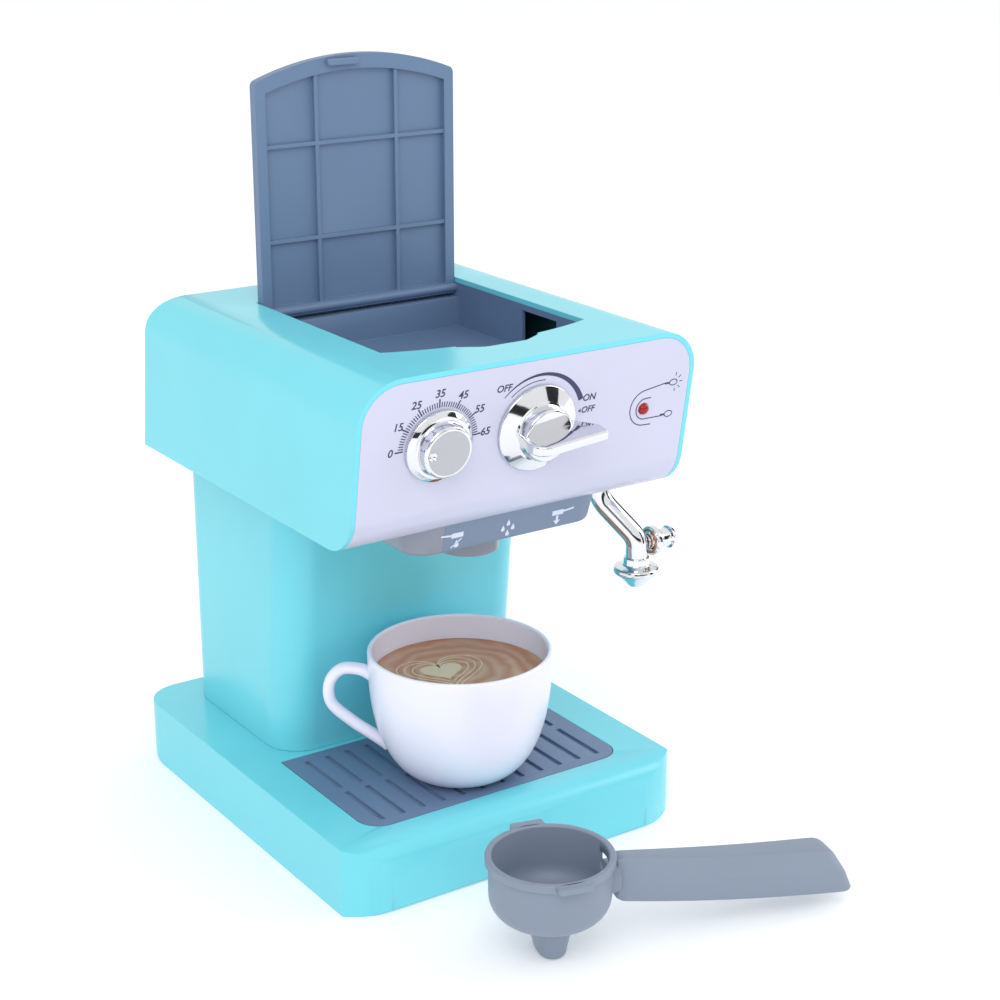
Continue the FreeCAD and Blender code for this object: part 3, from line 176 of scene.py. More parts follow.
def round_corners(points, radii, steps=8, closed=True):
    """Puts an arc tangent to both sides at each corner.

    An arc of radius r that turns by t starts r tan(t / 2) before the corner, and its centre lies
    r / cos(t / 2) from the corner along the bisector of the two sides.
    """
    p = np.asarray(points, float)
    before, after = np.roll(p, 1, 0) - p, np.roll(p, -1, 0) - p
    run_a, run_b = np.linalg.norm(before, axis=1), np.linalg.norm(after, axis=1)
    a, b = before / run_a[:, None], after / run_b[:, None]
    half = (math.pi - np.arccos(np.clip((a * b).sum(1), -1, 1))) / 2
    wanted = np.broadcast_to(np.asarray(radii, float), len(p)) * np.tan(half)
    reach = np.minimum(wanted, MOST_OF_SIDE * np.minimum(run_a, run_b))
    radius = reach / np.maximum(np.tan(half), TINY)
    way = (a + b) / np.maximum(np.linalg.norm(a + b, axis=1), TINY)[:, None]
    centre = p + way * (radius / np.maximum(np.cos(half), TINY))[:, None]
    start, end = p + a * reach[:, None] - centre, p + b * reach[:, None] - centre
    sweep = np.arctan2(start[:, 0] * end[:, 1] - start[:, 1] * end[:, 0], (start * end).sum(1))
    angle = sweep[:, None] * np.linspace(0, 1, steps + 1)
    x = start[:, :1] * np.cos(angle) - start[:, 1:] * np.sin(angle) + centre[:, :1]
    y = start[:, :1] * np.sin(angle) + start[:, 1:] * np.cos(angle) + centre[:, 1:]
    arcs = np.stack([x, y], -1)
    if closed:
        return arcs.reshape(-1, 2)
    return np.concatenate([p[:1], arcs[1:-1].reshape(-1, 2), p[-1:]])


def turned_profile(corners, steps):
    """An open profile with rounded corners, from rows of radius, height and corner radius."""
    rows = np.array(corners)
    return round_corners(rows[:, :2], rows[:, 2], steps, False)


def lathe(profile, sides=128):
    """Turns a profile of radius and height once round Z: (r cos a, r sin a, z)."""
    angle = np.linspace(0, 2 * math.pi, sides, endpoint=False)
    r, z = profile[:, :1], profile[:, 1:]
    return np.stack([r * np.cos(angle), r * np.sin(angle), z + 0 * angle], -1)


def smooth_path(points, count):
    """A Catmull-Rom curve: each span is the cubic whose end slopes are half its neighbours' gap."""
    p = np.asarray(points, float)
    p = np.concatenate([[2 * p[0] - p[1]], p, [2 * p[-1] - p[-2]]])
    t = np.linspace(0, len(p) - 3, count)
    i = np.minimum(t.astype(int), len(p) - 4)
    f = (t - i)[:, None]
    a, b, c, d = p[i], p[i + 1], p[i + 2], p[i + 3]
    cubic = (3 * b - a - 3 * c + d) * f**3 + (2 * a - 5 * b + 4 * c - d) * f**2
    return 0.5 * (2 * b + (c - a) * f + cubic)


def sweep(path, across, section, scale=1.0):
    """Carries a section along a flat path: path + s across + t (tangent x across)."""
    along = np.gradient(path, axis=0)
    along /= np.linalg.norm(along, axis=1)[:, None]
    side = np.asarray(across, float)
    normal = np.cross(along, side)
    size = np.broadcast_to(np.asarray(scale, float), len(path))[:, None, None]
    return path[:, None] + size * (section[:, :1] * side + section[:, 1:] * normal[:, None])


def inset(outline, distance):
    """Moves each point of a closed outline inwards, square to the chord of its neighbours."""
    chord = np.roll(outline, -1, 0) - np.roll(outline, 1, 0)
    normal = np.stack([-chord[:, 1], chord[:, 0]], 1)
    normal /= np.maximum(np.linalg.norm(normal, axis=1), TINY)[:, None]
    return outline + normal * distance


def stacked(outline, insets, heights):
    """An outline laid at each height in turn, moved inwards there by that height's inset."""
    return np.array(
        [np.column_stack([inset(outline, d), np.full(len(outline), z)]) for d, z in zip(insets, heights)]
    )


def slab(outline, low, high, round_low=0.0, round_high=0.0, steps=5):
    """A plate between two heights whose rims are quarter rounds: inset r (1 - sin a)."""
    angle = np.linspace(0, math.pi / 2, steps)
    sine, cosine = 1 - np.sin(angle), 1 - np.cos(angle)
    insets = np.concatenate([round_low * sine, round_high * cosine])
    heights = np.concatenate([low + round_low * cosine, high - round_high * sine])
    return stacked(outline, insets, heights)


def oval(wide, high, count=24):
    """An ellipse as a closed outline."""
    angle = np.linspace(0, 2 * math.pi, count, endpoint=False)
    return np.column_stack([wide / 2 * np.cos(angle), high / 2 * np.sin(angle)])


def arc(radius, first, last, count=48):
    """A stretch of a circle, with its angles in degrees."""
    angle = np.radians(np.linspace(first, last, count))
    return radius * np.column_stack([np.cos(angle), np.sin(angle)])


def rectangle(left, low, right, high):
    """A rectangle's corners, anticlockwise from its lower left."""
    return np.array([(left, low), (right, low), (right, high), (left, high)])


def turned_by(angle, x, y):
    """Two coordinates turned about the origin: (x cos a - y sin a, x sin a + y cos a)."""
    c, s = math.cos(angle), math.sin(angle)
    return x * c - y * s, x * s + y * c


def box_of(node):
    """A node's lowest and highest corners as arrays."""
    low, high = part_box(node)
    return np.array(low), np.array(high)


# Meshes

def grid_faces(rows, cols, looped=False):
    """Four-sided faces of a grid closed round its columns and, if looped, from last row to first."""
    i, j = np.arange(rows if looped else rows - 1)[:, None], np.arange(cols)[None]
    here, below, beside = i * cols, (i + 1) % rows * cols, (j + 1) % cols
    faces = np.stack([here + j, here + beside, below + beside, below + j], -1)
    return faces.reshape(-1, 4).tolist()


def closed_grid(points):
    """Vertices and faces of a tube-like grid with both ends filled."""
    rows, cols = points.shape[:2]
    faces = grid_faces(rows, cols)
    faces.append(list(range(cols)))
    faces.append(list(range((rows - 1) * cols, rows * cols)))
    return points.reshape(-1, 3), faces


def join(parts):
    """Several sets of vertices and faces as one."""
    spots, faces, first = [], [], 0
    for points, sides in parts:
        spots.append(np.asarray(points, float))
        faces.extend([[first + v for v in side] for side in sides])
        first += len(points)
    return np.concatenate(spots), faces


def clean(mesh, merge=1e-7):
    """Merges doubled vertices and turns every face outwards."""
    shape = bmesh.new()
    shape.from_mesh(mesh)
    bmesh.ops.remove_doubles(shape, verts=shape.verts, dist=merge)
    bmesh.ops.dissolve_degenerate(shape, dist=merge, edges=shape.edges)
    bmesh.ops.recalc_face_normals(shape, faces=shape.faces)
    shape.to_mesh(mesh)
    shape.free()


def solid_mesh(name, shape):
    """A mesh from vertices and faces, merged and turned outwards."""
    points, faces = shape
    mesh = bpy.data.meshes.new(name)
    mesh.from_pydata(points.tolist(), [], faces)
    clean(mesh)
    return mesh


def add_object(name, data):
    """An object in the scene's own collection."""
    thing = bpy.data.objects.new(name, data)
    bpy.context.scene.collection.objects.link(thing)
    return thing


def make_piece(name, shape, material, body, stands_for=(), angle=35.0):
    """A finished piece from vertices and faces, riding on a body."""
    piece = add_object(name, solid_mesh(name, shape))
    return dress(piece, material, body, stands_for, angle)


def dress(piece, material, body, stands_for, angle):
    """Gives a piece its shading, material and body."""
    piece.data.shade_smooth()
    piece.data.set_sharp_from_angle(angle=math.radians(angle))
    piece.data.materials.clear()
    piece.data.materials.append(material)
    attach(piece, body)
    if stands_for:
        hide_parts(*stands_for)
    return piece


def moulded_copy(node, material, body, edge, angle=32.0):
    """A node's own shape with its coplanar faces joined and its sharp edges rounded."""
    merge, flat = 0.002 * MM, math.radians(0.6)
    mesh = frame["nodes"][node].data.copy()
    shape = bmesh.new()
    shape.from_mesh(mesh)
    bmesh.ops.remove_doubles(shape, verts=shape.verts, dist=merge)
    bmesh.ops.dissolve_limit(
        shape, angle_limit=flat, verts=shape.verts, edges=shape.edges, delimit=set()
    )
    shape.to_mesh(mesh)
    shape.free()
    piece = dress(add_object(f"{node}_moulded", mesh), material, body, (node,), angle)
    if edge > 0:
        bevel = piece.modifiers.new("edge", "BEVEL")
        bevel.width = edge
        bevel.segments = 2
        bevel.limit_method = "ANGLE"
        bevel.angle_limit = math.radians(angle)
        bevel.harden_normals = True
    return piece


def paint(node, material):
    """Gives a carried-over node its material through its object's slots."""
    thing = frame["nodes"][node]
    if not thing.material_slots:
        raise RuntimeError(f"{node} has no material slot")
    for place in thing.material_slots:
        place.link = "OBJECT"
        place.material = material


def carve(piece, tool_shape):
    """Cuts a closed shape out of a piece and keeps the result as its mesh."""
    tool = add_object("carve_tool", solid_mesh("carve_tool", tool_shape))
    cut = piece.modifiers.new("carve", "BOOLEAN")
    cut.operation = "DIFFERENCE"
    cut.solver = "EXACT"
    cut.object = tool
    bpy.context.view_layer.update()
    ready = piece.evaluated_get(bpy.context.evaluated_depsgraph_get())
    result = bpy.data.meshes.new_from_object(ready)
    piece.modifiers.remove(cut)
    if len(result.polygons) <= len(piece.data.polygons) // 2:
        raise RuntimeError(f"{piece.name}: the cut took too much away")
    piece.data = result
    bpy.data.objects.remove(tool)


# Materials

def add_node(tree, kind, settings=None, links=None):
    """Adds one node with its settings and its incoming links."""
    node = tree.nodes.new(kind)
    for key, value in (settings or {}).items():
        if isinstance(key, int) or key in node.inputs:
            node.inputs[key].default_value = value
        else:
            setattr(node, key, value)
    for key, source in (links or {}).items():
        tree.links.new(source, node.inputs[key])
    return node


def start_material(name, base, settings):
    """A material with one Principled shader on its output."""
    material = bpy.data.materials.new(name)
    material.use_nodes = True
    tree = material.node_tree
    tree.nodes.clear()
    shader = add_node(tree, "ShaderNodeBsdfPrincipled", {"Base Color": (*base, 1.0), **settings})
    add_node(tree, "ShaderNodeOutputMaterial", {}, {"Surface": shader.outputs[0]})
    return material, tree, shader


def add_relief(tree, shader, place, scale, detail, strength, depth):
    """Raises the surface where a noise with scale waves to the metre is high, by depth at most."""
    noise = add_node(tree, "ShaderNodeTexNoise", {"Scale": scale, "Detail": detail}, {"Vector": place})
    relief = add_node(
        tree, "ShaderNodeBump", {"Strength": strength, "Distance": depth}, {"Height": noise.outputs["Fac"]}
    )
    tree.links.new(relief.outputs[0], shader.inputs["Normal"])


def vary_tone(tree, shader, base, pattern, shift):
    """Lets a pattern darken and lighten the base colour by up to a share of it."""
    tone = add_node(
        tree, "ShaderNodeMapRange", {"To Min": 1 - shift, "To Max": 1 + shift}, {"Value": pattern}
    )
    tint = add_node(tree, "ShaderNodeHueSaturation", {"Color": (*base, 1.0)}, {"Value": tone.outputs[0]})
    tree.links.new(tint.outputs[0], shader.inputs["Base Color"])


def moulded_finish(name, base, rough, grain, depth, shift=0.04):
    """Injection-moulded plastic: fine skin texture, uneven gloss and a slight drift in tone.

    grain is the skin's texture size and depth its height, both in metres.
    """
    material, tree, shader = start_material(name, base, {"IOR": 1.52})
    place = add_node(tree, "ShaderNodeTexCoord").outputs["Object"]
    add_relief(tree, shader, place, 1 / grain, 3.0, 0.6, depth)
    # Gloss drifts over about 40 mm, as a mould's polish does.
    drift = add_node(tree, "ShaderNodeTexNoise", {"Scale": 25.0, "Detail": 4.0}, {"Vector": place})
    spread = 0.05
    gloss = add_node(
        tree,
        "ShaderNodeMapRange",
        {"To Min": rough - spread, "To Max": rough + spread},
        {"Value": drift.outputs["Fac"]},
    )
    tree.links.new(gloss.outputs[0], shader.inputs["Roughness"])
    vary_tone(tree, shader, base, drift.outputs["Fac"], shift)
    return material


def gloss_abs(name, base):
    """Polished-mould ABS: clear highlights over a skin with waves of about 1.5 mm."""
    return moulded_finish(name, base, 0.24, 1.5 * MM, 0.012 * MM)


def satin_polypropylene(name, base):
    """Spark-eroded polypropylene: a soft sheen over a grain of 0.5 mm."""
    return moulded_finish(name, base, 0.42, 0.5 * MM, 0.03 * MM)


def plating(name, code, rough, scale, strength, depth, detail=2.0):
    """Plated metal: a bright or dull mirror over fine waves, scale of them to the metre."""
    material, tree, shader = start_material(name, linear(code), {"Metallic": 1.0, "Roughness": rough})
    place = add_node(tree, "ShaderNodeTexCoord").outputs["Object"]
    add_relief(tree, shader, place, scale, detail, strength, depth)
    return material


def plated_abs():
    """Chrome over ABS: a mirror that keeps the moulding's long waves, about 6 mm."""
    return plating("chrome_plated_abs", "E2E3E6", 0.07, 160.0, 0.5, 0.06 * MM, 1.0)


def bronze_plating():
    """Bronze-tinted plating: a warm mirror with faint waves of 2 mm."""
    return plating("bronze_plating", "B98263", 0.22, 500.0, 0.4, 0.02 * MM)


def satin_plating():
    """Satin plating over a blasted face: a bright grey sheen with a grain of 0.3 mm."""
    return plating("satin_plating", "B9BABF", 0.34, 3300.0, 0.5, 0.03 * MM)


def zinc_steel():
    """Zinc-plated steel: a grey metal with fine turning marks 0.2 mm apart."""
    return plating("zinc_plated_steel", "A9ABAF", 0.32, 5000.0, 0.4, 0.01 * MM)


def lamp_lens_acrylic(base):
    """Clear red acrylic: wet gloss, some light through it and swirls of about 1 mm."""
    material, tree, shader = start_material(
        "red_acrylic", base, {"Roughness": 0.08, "IOR": 1.49, "Transmission Weight": 0.25}
    )
    place = add_node(tree, "ShaderNodeTexCoord").outputs["Object"]
    swirl = add_node(tree, "ShaderNodeTexNoise", {"Scale": 900.0}, {"Vector": place})
    vary_tone(tree, shader, base, swirl.outputs["Fac"], 0.25)
    return material


def printed_coffee(coffee, crema):
    """A glossy print: brown with pale, wavering rings round the cup's middle, about 8 mm apart."""
    material, tree, shader = start_material("printed_coffee", coffee, {"Roughness": 0.2, "IOR": 1.5})
    low, high = box_of("coffee_disc")
    middle = (low + high) / 2
    place = add_node(tree, "ShaderNodeTexCoord").outputs["Object"]
    centred = add_node(
        tree, "ShaderNodeMapping", {"Location": tuple((-middle).tolist())}, {"Vector": place}
    )
    rings = add_node(
        tree,
        "ShaderNodeTexWave",
        {"wave_type": "RINGS", "rings_direction": "Z", "Scale": 40.0, "Distortion": 7.0, "Detail": 2.0},
        {"Vector": centred.outputs[0]},
    )
    cloud = add_node(
        tree, "ShaderNodeTexNoise", {"Scale": 60.0, "Detail": 5.0}, {"Vector": centred.outputs[0]}
    )
    blend = add_node(
        tree, "ShaderNodeMath", {"operation": "MULTIPLY"}, {0: rings.outputs["Fac"], 1: cloud.outputs["Fac"]}
    )
    softer = add_node(tree, "ShaderNodeMapRange", {"To Max": 0.75}, {"Value": blend.outputs[0]})
    tones = add_node(
        tree,
        "ShaderNodeMix",
        {"data_type": "RGBA", 6: (*coffee, 1.0), 7: (*crema, 1.0)},
        {0: softer.outputs[0]},
    )
    tree.links.new(tones.outputs[2], shader.inputs["Base Color"])
    return material


def printed_ink(name, base):
    """Pad-printed ink: matt, and a little uneven in tone."""
    return moulded_finish(name, base, 0.5, 0.3 * MM, 0.005 * MM, 0.06)


MATERIALS = {}


def material_named(name, make):
    """Makes a material that several operators share once only."""
    if name not in MATERIALS:
        MATERIALS[name] = make()
    return MATERIALS[name]


def turquoise(context):
    """The casings' glossy ABS."""
    base = tuple(context.scene.coffee_casing.turquoise)
    return material_named("turquoise", lambda: gloss_abs("turquoise_abs", base))


def slate(context):
    """The satin polypropylene of the bin, its lid and the tray."""
    base = tuple(context.scene.coffee_casing.slate)
    return material_named("slate", lambda: satin_polypropylene("slate_polypropylene", base))


def chrome():
    """The plating of the dial, the knob and the wand."""
    return material_named("chrome", plated_abs)


# Panel frame

TIMER_SPOT = np.array(JOINTS["timer_turn"]["pos_m"], float)
MODE_SPOT = np.array(JOINTS["mode_turn"]["pos_m"], float)
PANEL_IN = np.array(JOINTS["timer_turn"]["axis"], float)
PANEL_IN /= np.linalg.norm(PANEL_IN)
PANEL_RIGHT = np.array([1.0, 0.0, 0.0])
PANEL_UP = np.cross(PANEL_RIGHT, PANEL_IN)
PANEL_AXES = np.array([PANEL_RIGHT, PANEL_UP, -PANEL_IN])
PRINT_THICK = 0.08 * MM
LETTER_SLANT = 0.18
# The dial and the knob stand this far off the panel.
CONTROL_GAP = 0.3 * MM


def on_panel(points, spot):
    """Takes points given as right, up and out of the panel to the frame, round a spot on its face."""
    return spot + points @ PANEL_AXES


def ribbon(path, wide, low=0.0, high=PRINT_THICK):
    """A printed line: the path offset by half its width to each side, with a little thickness."""
    along = np.gradient(path, axis=0)
    along /= np.linalg.norm(along, axis=1)[:, None]
    side = np.column_stack([-along[:, 1], along[:, 0]])
    half = np.broadcast_to(np.asarray(wide, float), len(path))[:, None] / 2
    left, right = path + side * half, path - side * half
    level = np.ones((len(path), 1))
    rows = [np.hstack([left, level * low]), np.hstack([right, level * low])]
    rows += [np.hstack([right, level * high]), np.hstack([left, level * high])]
    return closed_grid(np.stack(rows, 1))


def plate(outline, low=0.0, high=PRINT_THICK):
    """A printed area: an outline with a little thickness."""
    return closed_grid(slab(outline, low, high, steps=2))


def lettering(words, high, x, y):
    """Slanted words as a thin mesh centred on a point of the panel."""
    curve = bpy.data.curves.new("lettering", "FONT")
    curve.body = words
    curve.size = high
    curve.shear = LETTER_SLANT
    curve.align_x = "CENTER"
    curve.align_y = "CENTER"
    curve.extrude = PRINT_THICK / 2
    curve.resolution_u = 4
    # The offset makes the strokes bolder.
    curve.offset = 0.07 * MM
    holder = add_object("lettering", curve)
    bpy.context.view_layer.update()
    mesh = bpy.data.meshes.new_from_object(holder.evaluated_get(bpy.context.evaluated_depsgraph_get()))
    points = np.empty(len(mesh.vertices) * 3)
    mesh.vertices.foreach_get("co", points)
    points = points.reshape(-1, 3) + [x, y, PRINT_THICK / 2]
    faces = [list(side.vertices) for side in mesh.polygons]
    bpy.data.objects.remove(holder)
    return points, faces


# Pieces

class CoffeeOperator:
    """What every operator here shares."""

    bl_options = {"REGISTER"}


class COFFEE_OT_stage(CoffeeOperator, bpy.types.Operator):
    """Make the camera, floor, lamps and the dark cards that the plating reflects"""

    bl_idname = "coffee.stage"
    bl_label = "Stage"

    def execute(self, context):
        settings = context.scene.coffee_stage
        scene = context.scene
        scene.view_settings.view_transform = "Standard"
        make_camera(scene, settings)
        make_world(scene, settings)
        make_floor(settings)
        middle = Vector((0.0, -0.05, 0.12))
        make_lamp("front_softbox", Vector((-0.9, -1.3, 1.5)), middle, 1.3, settings.key)
        make_lamp("right_softbox", Vector((1.5, -0.7, 0.9)), middle, 1.0, settings.fill)
        card = start_material("dark_card", linear("15171C"), {"Roughness": 0.9})[0]
        for name, x, y, z, wide, high in (
            ("card_low", -0.2, -1.2, 0.22, 1.4, 0.2),
            ("card_left", -1.1, -0.5, 0.5, 0.4, 0.6),
            ("card_right", 0.9, -0.9, 0.35, 0.4, 0.7),
            ("card_high", -0.3, -1.0, 1.25, 1.2, 0.28),
            ("card_near", -0.75, -1.25, 0.62, 0.22, 0.5),
            ("card_side", 1.2, 0.2, 0.5, 0.5, 0.6),
        ):
            make_card(name, Vector((x, y, z)), middle, wide, high, card)
        return {"FINISHED"}


def point(thing, place, way, axis="-Z"):
    """Puts a thing at a place, with one of its axes along a direction."""
    thing.location = place
    thing.rotation_mode = "QUATERNION"
    thing.rotation_quaternion = way.to_track_quat(axis, "Y")


def make_camera(scene, settings):
    """A camera turned by yaw about the vertical and then by pitch downwards."""
    camera = add_object("camera", bpy.data.cameras.new("camera"))
    camera.data.lens = settings.lens
    camera.data.sensor_width = 36.0
    camera.data.clip_start, camera.data.clip_end = 0.05, 60.0
    level = math.cos(settings.pitch)
    ahead = Vector(
        (math.sin(settings.yaw) * level, math.cos(settings.yaw) * level, -math.sin(settings.pitch))
    )
    point(camera, (settings.eye_x, settings.eye_y, settings.eye_z), ahead)
    scene.camera = camera


def make_world(scene, settings):
    """An even pale sky that the camera, mirrors and clear pieces see as white."""
    world = bpy.data.worlds.new("studio")
    world.use_nodes = True
    scene.world = world
    tree = world.node_tree
    tree.nodes.clear()
    rays = add_node(tree, "ShaderNodeLightPath")
    seen = rays.outputs["Is Camera Ray"]
    for kind in ("Is Glossy Ray", "Is Transmission Ray"):
        either = add_node(
            tree, "ShaderNodeMath", {"operation": "MAXIMUM"}, {0: seen, 1: rays.outputs[kind]}
        )
        seen = either.outputs[0]
    strength = add_node(
        tree, "ShaderNodeMapRange", {"To Min": settings.sky, "To Max": 1.0}, {"Value": seen}
    )
    sky = add_node(
        tree, "ShaderNodeBackground", {"Color": (1, 1, 1, 1)}, {"Strength": strength.outputs[0]}
    )
    add_node(tree, "ShaderNodeOutputWorld", {}, {"Surface": sky.outputs[0]})


def stage_sheet(name, wide, high, material):
    """A flat rectangle round the origin."""
    corners = np.column_stack([rectangle(-wide / 2, -high / 2, wide / 2, high / 2), np.zeros(4)])
    mesh = bpy.data.meshes.new(name)
    mesh.from_pydata(corners.tolist(), [], [(0, 1, 2, 3)])
    mesh.materials.append(material)
    return add_object(name, mesh)


def make_floor(settings):
    """A wide matt floor with a faint light of its own."""
    matt = start_material(
        "matt_floor",
        tuple(settings.floor),
        {"Roughness": 0.8, "Emission Color": (1, 1, 1, 1), "Emission Strength": 0.16},
    )[0]
    floor = stage_sheet("floor", 30.0, 30.0, matt)


def make_lamp(name, place, aim, size, strength):
    """A square softbox that points at the object."""
    lamp = bpy.data.lights.new(name, "AREA")
    lamp.size = size
    lamp.energy = strength
    point(add_object(name, lamp), place, aim - place)


def make_card(name, place, aim, wide, high, material):
    """A dark card that only mirrors see."""
    card = stage_sheet(name, wide, high, material)
    point(card, place, aim - place, "Z")
    card.visible_camera = False
    card.visible_diffuse = False
    card.visible_shadow = False


class COFFEE_OT_casing(CoffeeOperator, bpy.types.Operator):
    """Finish the moulded casings, the panel and the drip tray"""

    bl_idname = "coffee.casing"
    bl_label = "Casing"

    def execute(self, context):
        casing = context.scene.coffee_casing
        blue = turquoise(context)
        for node in ("base_shell", "column_shell", "head_shell", "rear_cover", "base_plate", "battery_door"):
            moulded_copy(node, blue, "root", casing.edge)
        panel = gloss_abs("panel_abs", tuple(casing.panel))
        moulded_copy("front_panel", panel, "root", casing.edge)
        moulded_copy("drip_tray", slate(context), "tray", casing.edge / 2)
        return {"FINISHED"}


class COFFEE_OT_bin(CoffeeOperator, bpy.types.Operator):
    """Finish the bin and its lid with the finger tab"""

    bl_idname = "coffee.bin"
    bl_label = "Bin and Lid"

    def execute(self, context):
        casing = context.scene.coffee_casing
        finish = slate(context)
        moulded_copy("bin_liner", finish, "root", casing.edge / 2)
        moulded_copy("lid", finish, "lid", casing.edge)
        low, high = box_of("lid")
        half, tall, corner, rim = casing.tab_wide / 2, 3.2 * MM, 1.2 * MM, 0.7 * MM
        shape = slab(
            round_corners(rectangle(-half, -tall, half, 0.0), corner), 0.0, casing.tab_deep, 0.0, rim
        )
        # The tab's outline stands upright, and its height runs out of the lid's face.
        middle, root, top = -8.0 * MM, low[1] + 0.4 * MM, high[2] - 1.6 * MM
        spots = np.stack([shape[..., 0] + middle, root - shape[..., 2], top + shape[..., 1]], -1)
        make_piece("lid_finger_tab", closed_grid(spots), finish, "lid")
        return {"FINISHED"}


class COFFEE_OT_controls(CoffeeOperator, bpy.types.Operator):
    """Make the dial, the knob with its lever, and the lamp"""

    bl_idname = "coffee.controls"
    bl_label = "Controls"

    def execute(self, context):
        settings = context.scene.coffee_controls
        make_dial(settings)
        make_knob(settings)
        make_lamp_lens(settings)
        return {"FINISHED"}


def make_control(name, profile, spot, body, node):
    """A plated piece turned round its shaft, a little off the panel."""
    turned = lathe(profile)
    turned[..., 2] += CONTROL_GAP
    return make_piece(name, closed_grid(on_panel(turned, spot)), chrome(), body, (node,))


def make_dial(settings):
    """A flanged dial with a satin disc on its face and a dimple that points at the first number.

    The dimple is a ball of radius 2.6 mm cut out of the face near its rim.
    """
    flange, body, high = settings.flange, settings.body, settings.dial_high
    profile = turned_profile(
        [
            (0.0, 0.0, 0.0),
            (flange, 0.0, 0.3 * MM),
            (flange, 1.6 * MM, 0.8 * MM),
            (flange - 2.2 * MM, 3.0 * MM, 0.8 * MM),
            (body + 0.4 * MM, 3.2 * MM, 0.8 * MM),
            (body, high, 1.3 * MM),
            (0.0, high, 0.0),
        ],
        6,
    )
    dial = make_control("timer_dial_plated", profile, TIMER_SPOT, "timer", "timer_dial")
    top = high + CONTROL_GAP
    ball, from_rim, above = 2.6 * MM, 3.6 * MM, 1.2 * MM
    turn = np.linspace(0, math.pi, 17)
    dimple = lathe(ball * np.column_stack([np.sin(turn), -np.cos(turn)]), 32)
    dimple = closed_grid(on_panel(dimple + [from_rim - body, 0.0, top + above], TIMER_SPOT))
    carve(dial, dimple)
    disc_radius, disc_thick, sunk = body - 1.6 * MM, 0.1 * MM, 0.02 * MM
    disc = lathe(rectangle(0.0, 0.0, disc_radius, disc_thick)) + [0.0, 0.0, top - sunk]
    satin = satin_plating()
    face = make_piece("timer_dial_face", closed_grid(on_panel(disc, TIMER_SPOT)), satin, "timer")
    carve(face, dimple)


def make_knob(settings):
    """A coned flange, a round boss and a slab-shaped lever across it."""
    flange, boss, high = settings.knob_flange, settings.knob_boss, settings.boss_high
    profile = turned_profile(
        [
            (0.0, 0.0, 0.0),
            (flange, 0.0, 0.3 * MM),
            (flange, 1.4 * MM, 0.7 * MM),
            (boss + 1.5 * MM, 4.2 * MM, 0.8 * MM),
            (boss, 4.6 * MM, 0.6 * MM),
            (boss, high, 1.2 * MM),
            (0.0, high, 0.0),
        ],
        6,
    )
    make_control("mode_knob_plated", profile, MODE_SPOT, "mode", "mode_knob")
    left, right, top = -settings.lever_left, settings.lever_right, settings.lever_high
    outline = round_corners(
        [
            (left + 3 * MM, 3 * MM),
            (right - 9 * MM, 4 * MM),
            (right, top - 7 * MM),
            (right, top),
            (left, top),
        ],
        [2 * MM, 9 * MM, 2 * MM, 1.2 * MM, 7 * MM],
        10,
    )
    half, rim = settings.lever_thick / 2, 0.9 * MM
    lever = slab(outline, -half, half, rim, rim)
    x, y = turned_by(settings.lever_turn, lever[..., 0], lever[..., 2])
    spots = on_panel(np.stack([x, y, lever[..., 1] + CONTROL_GAP], -1), MODE_SPOT)
    make_piece("mode_lever_plated", closed_grid(spots), chrome(), "mode")


def make_lamp_lens(settings):
    """A domed lens: the dome's radius is that of its bore, and its height 0.8 of that."""
    low, high = box_of("lamp_lens")
    radius = (high[0] - low[0]) / 2
    angle = np.linspace(0, math.pi / 2, 10)
    dome = np.column_stack([radius * np.cos(angle), radius * 0.8 * np.sin(angle)])
    deep, lamp_high = 6 * MM, 209.0 * MM
    profile = np.concatenate([[[0.0, -deep], [radius, -deep]], dome])
    # The lamp's spot on the face is found by sliding up the face from the dial's spot.
    spot = TIMER_SPOT + PANEL_UP * (lamp_high - TIMER_SPOT[2]) / PANEL_UP[2]
    spot[0] = (low[0] + high[0]) / 2
    red = lamp_lens_acrylic(tuple(settings.red))
    shape = closed_grid(on_panel(lathe(profile, 48), spot))
    make_piece("lamp_lens_domed", shape, red, "root", ("lamp_lens",))


class COFFEE_OT_print(CoffeeOperator, bpy.types.Operator):
    """Print the numbers, ticks, words and signs on the panel"""

    bl_idname = "coffee.print"
    bl_label = "Panel Print"

    def execute(self, context):
        settings = context.scene.coffee_controls
        ink = printed_ink("panel_ink", tuple(settings.ink))
        for name, parts, spot in (
            ("timer_scale", timer_marks(settings), TIMER_SPOT),
            ("mode_marks", mode_marks(), MODE_SPOT),
            ("lamp_marks", lamp_marks(), MODE_SPOT),
        ):
            points, faces = join(parts)
            make_piece(name, (on_panel(points, spot), faces), ink, "root")
        return {"FINISHED"}


def timer_marks(settings):
    """Numbers evenly spaced over the sweep, with ticks at them and between them."""
    numbers = ("0", "15", "25", "35", "45", "55", "65")
    each = settings.ticks_between
    steps = each * (len(numbers) - 1)
    inner = settings.flange + 0.9 * MM
    ticks, words = [], []
    for i in range(steps + 1):
        angle = math.pi - settings.scale_sweep * i / steps
        way = np.array([math.cos(angle), math.sin(angle)])
        # The ticks at the numbers are longer and bolder.
        long, wide = (3.8 * MM, 0.62 * MM) if i % each == 0 else (2.4 * MM, 0.42 * MM)
        ticks.append(ribbon(np.array([way * inner, way * (inner + long)]), wide))
        if i % each == 0:
            words.append(lettering(numbers[i // each], 4.8 * MM, *(way * settings.number_ring)))
    return ticks + words


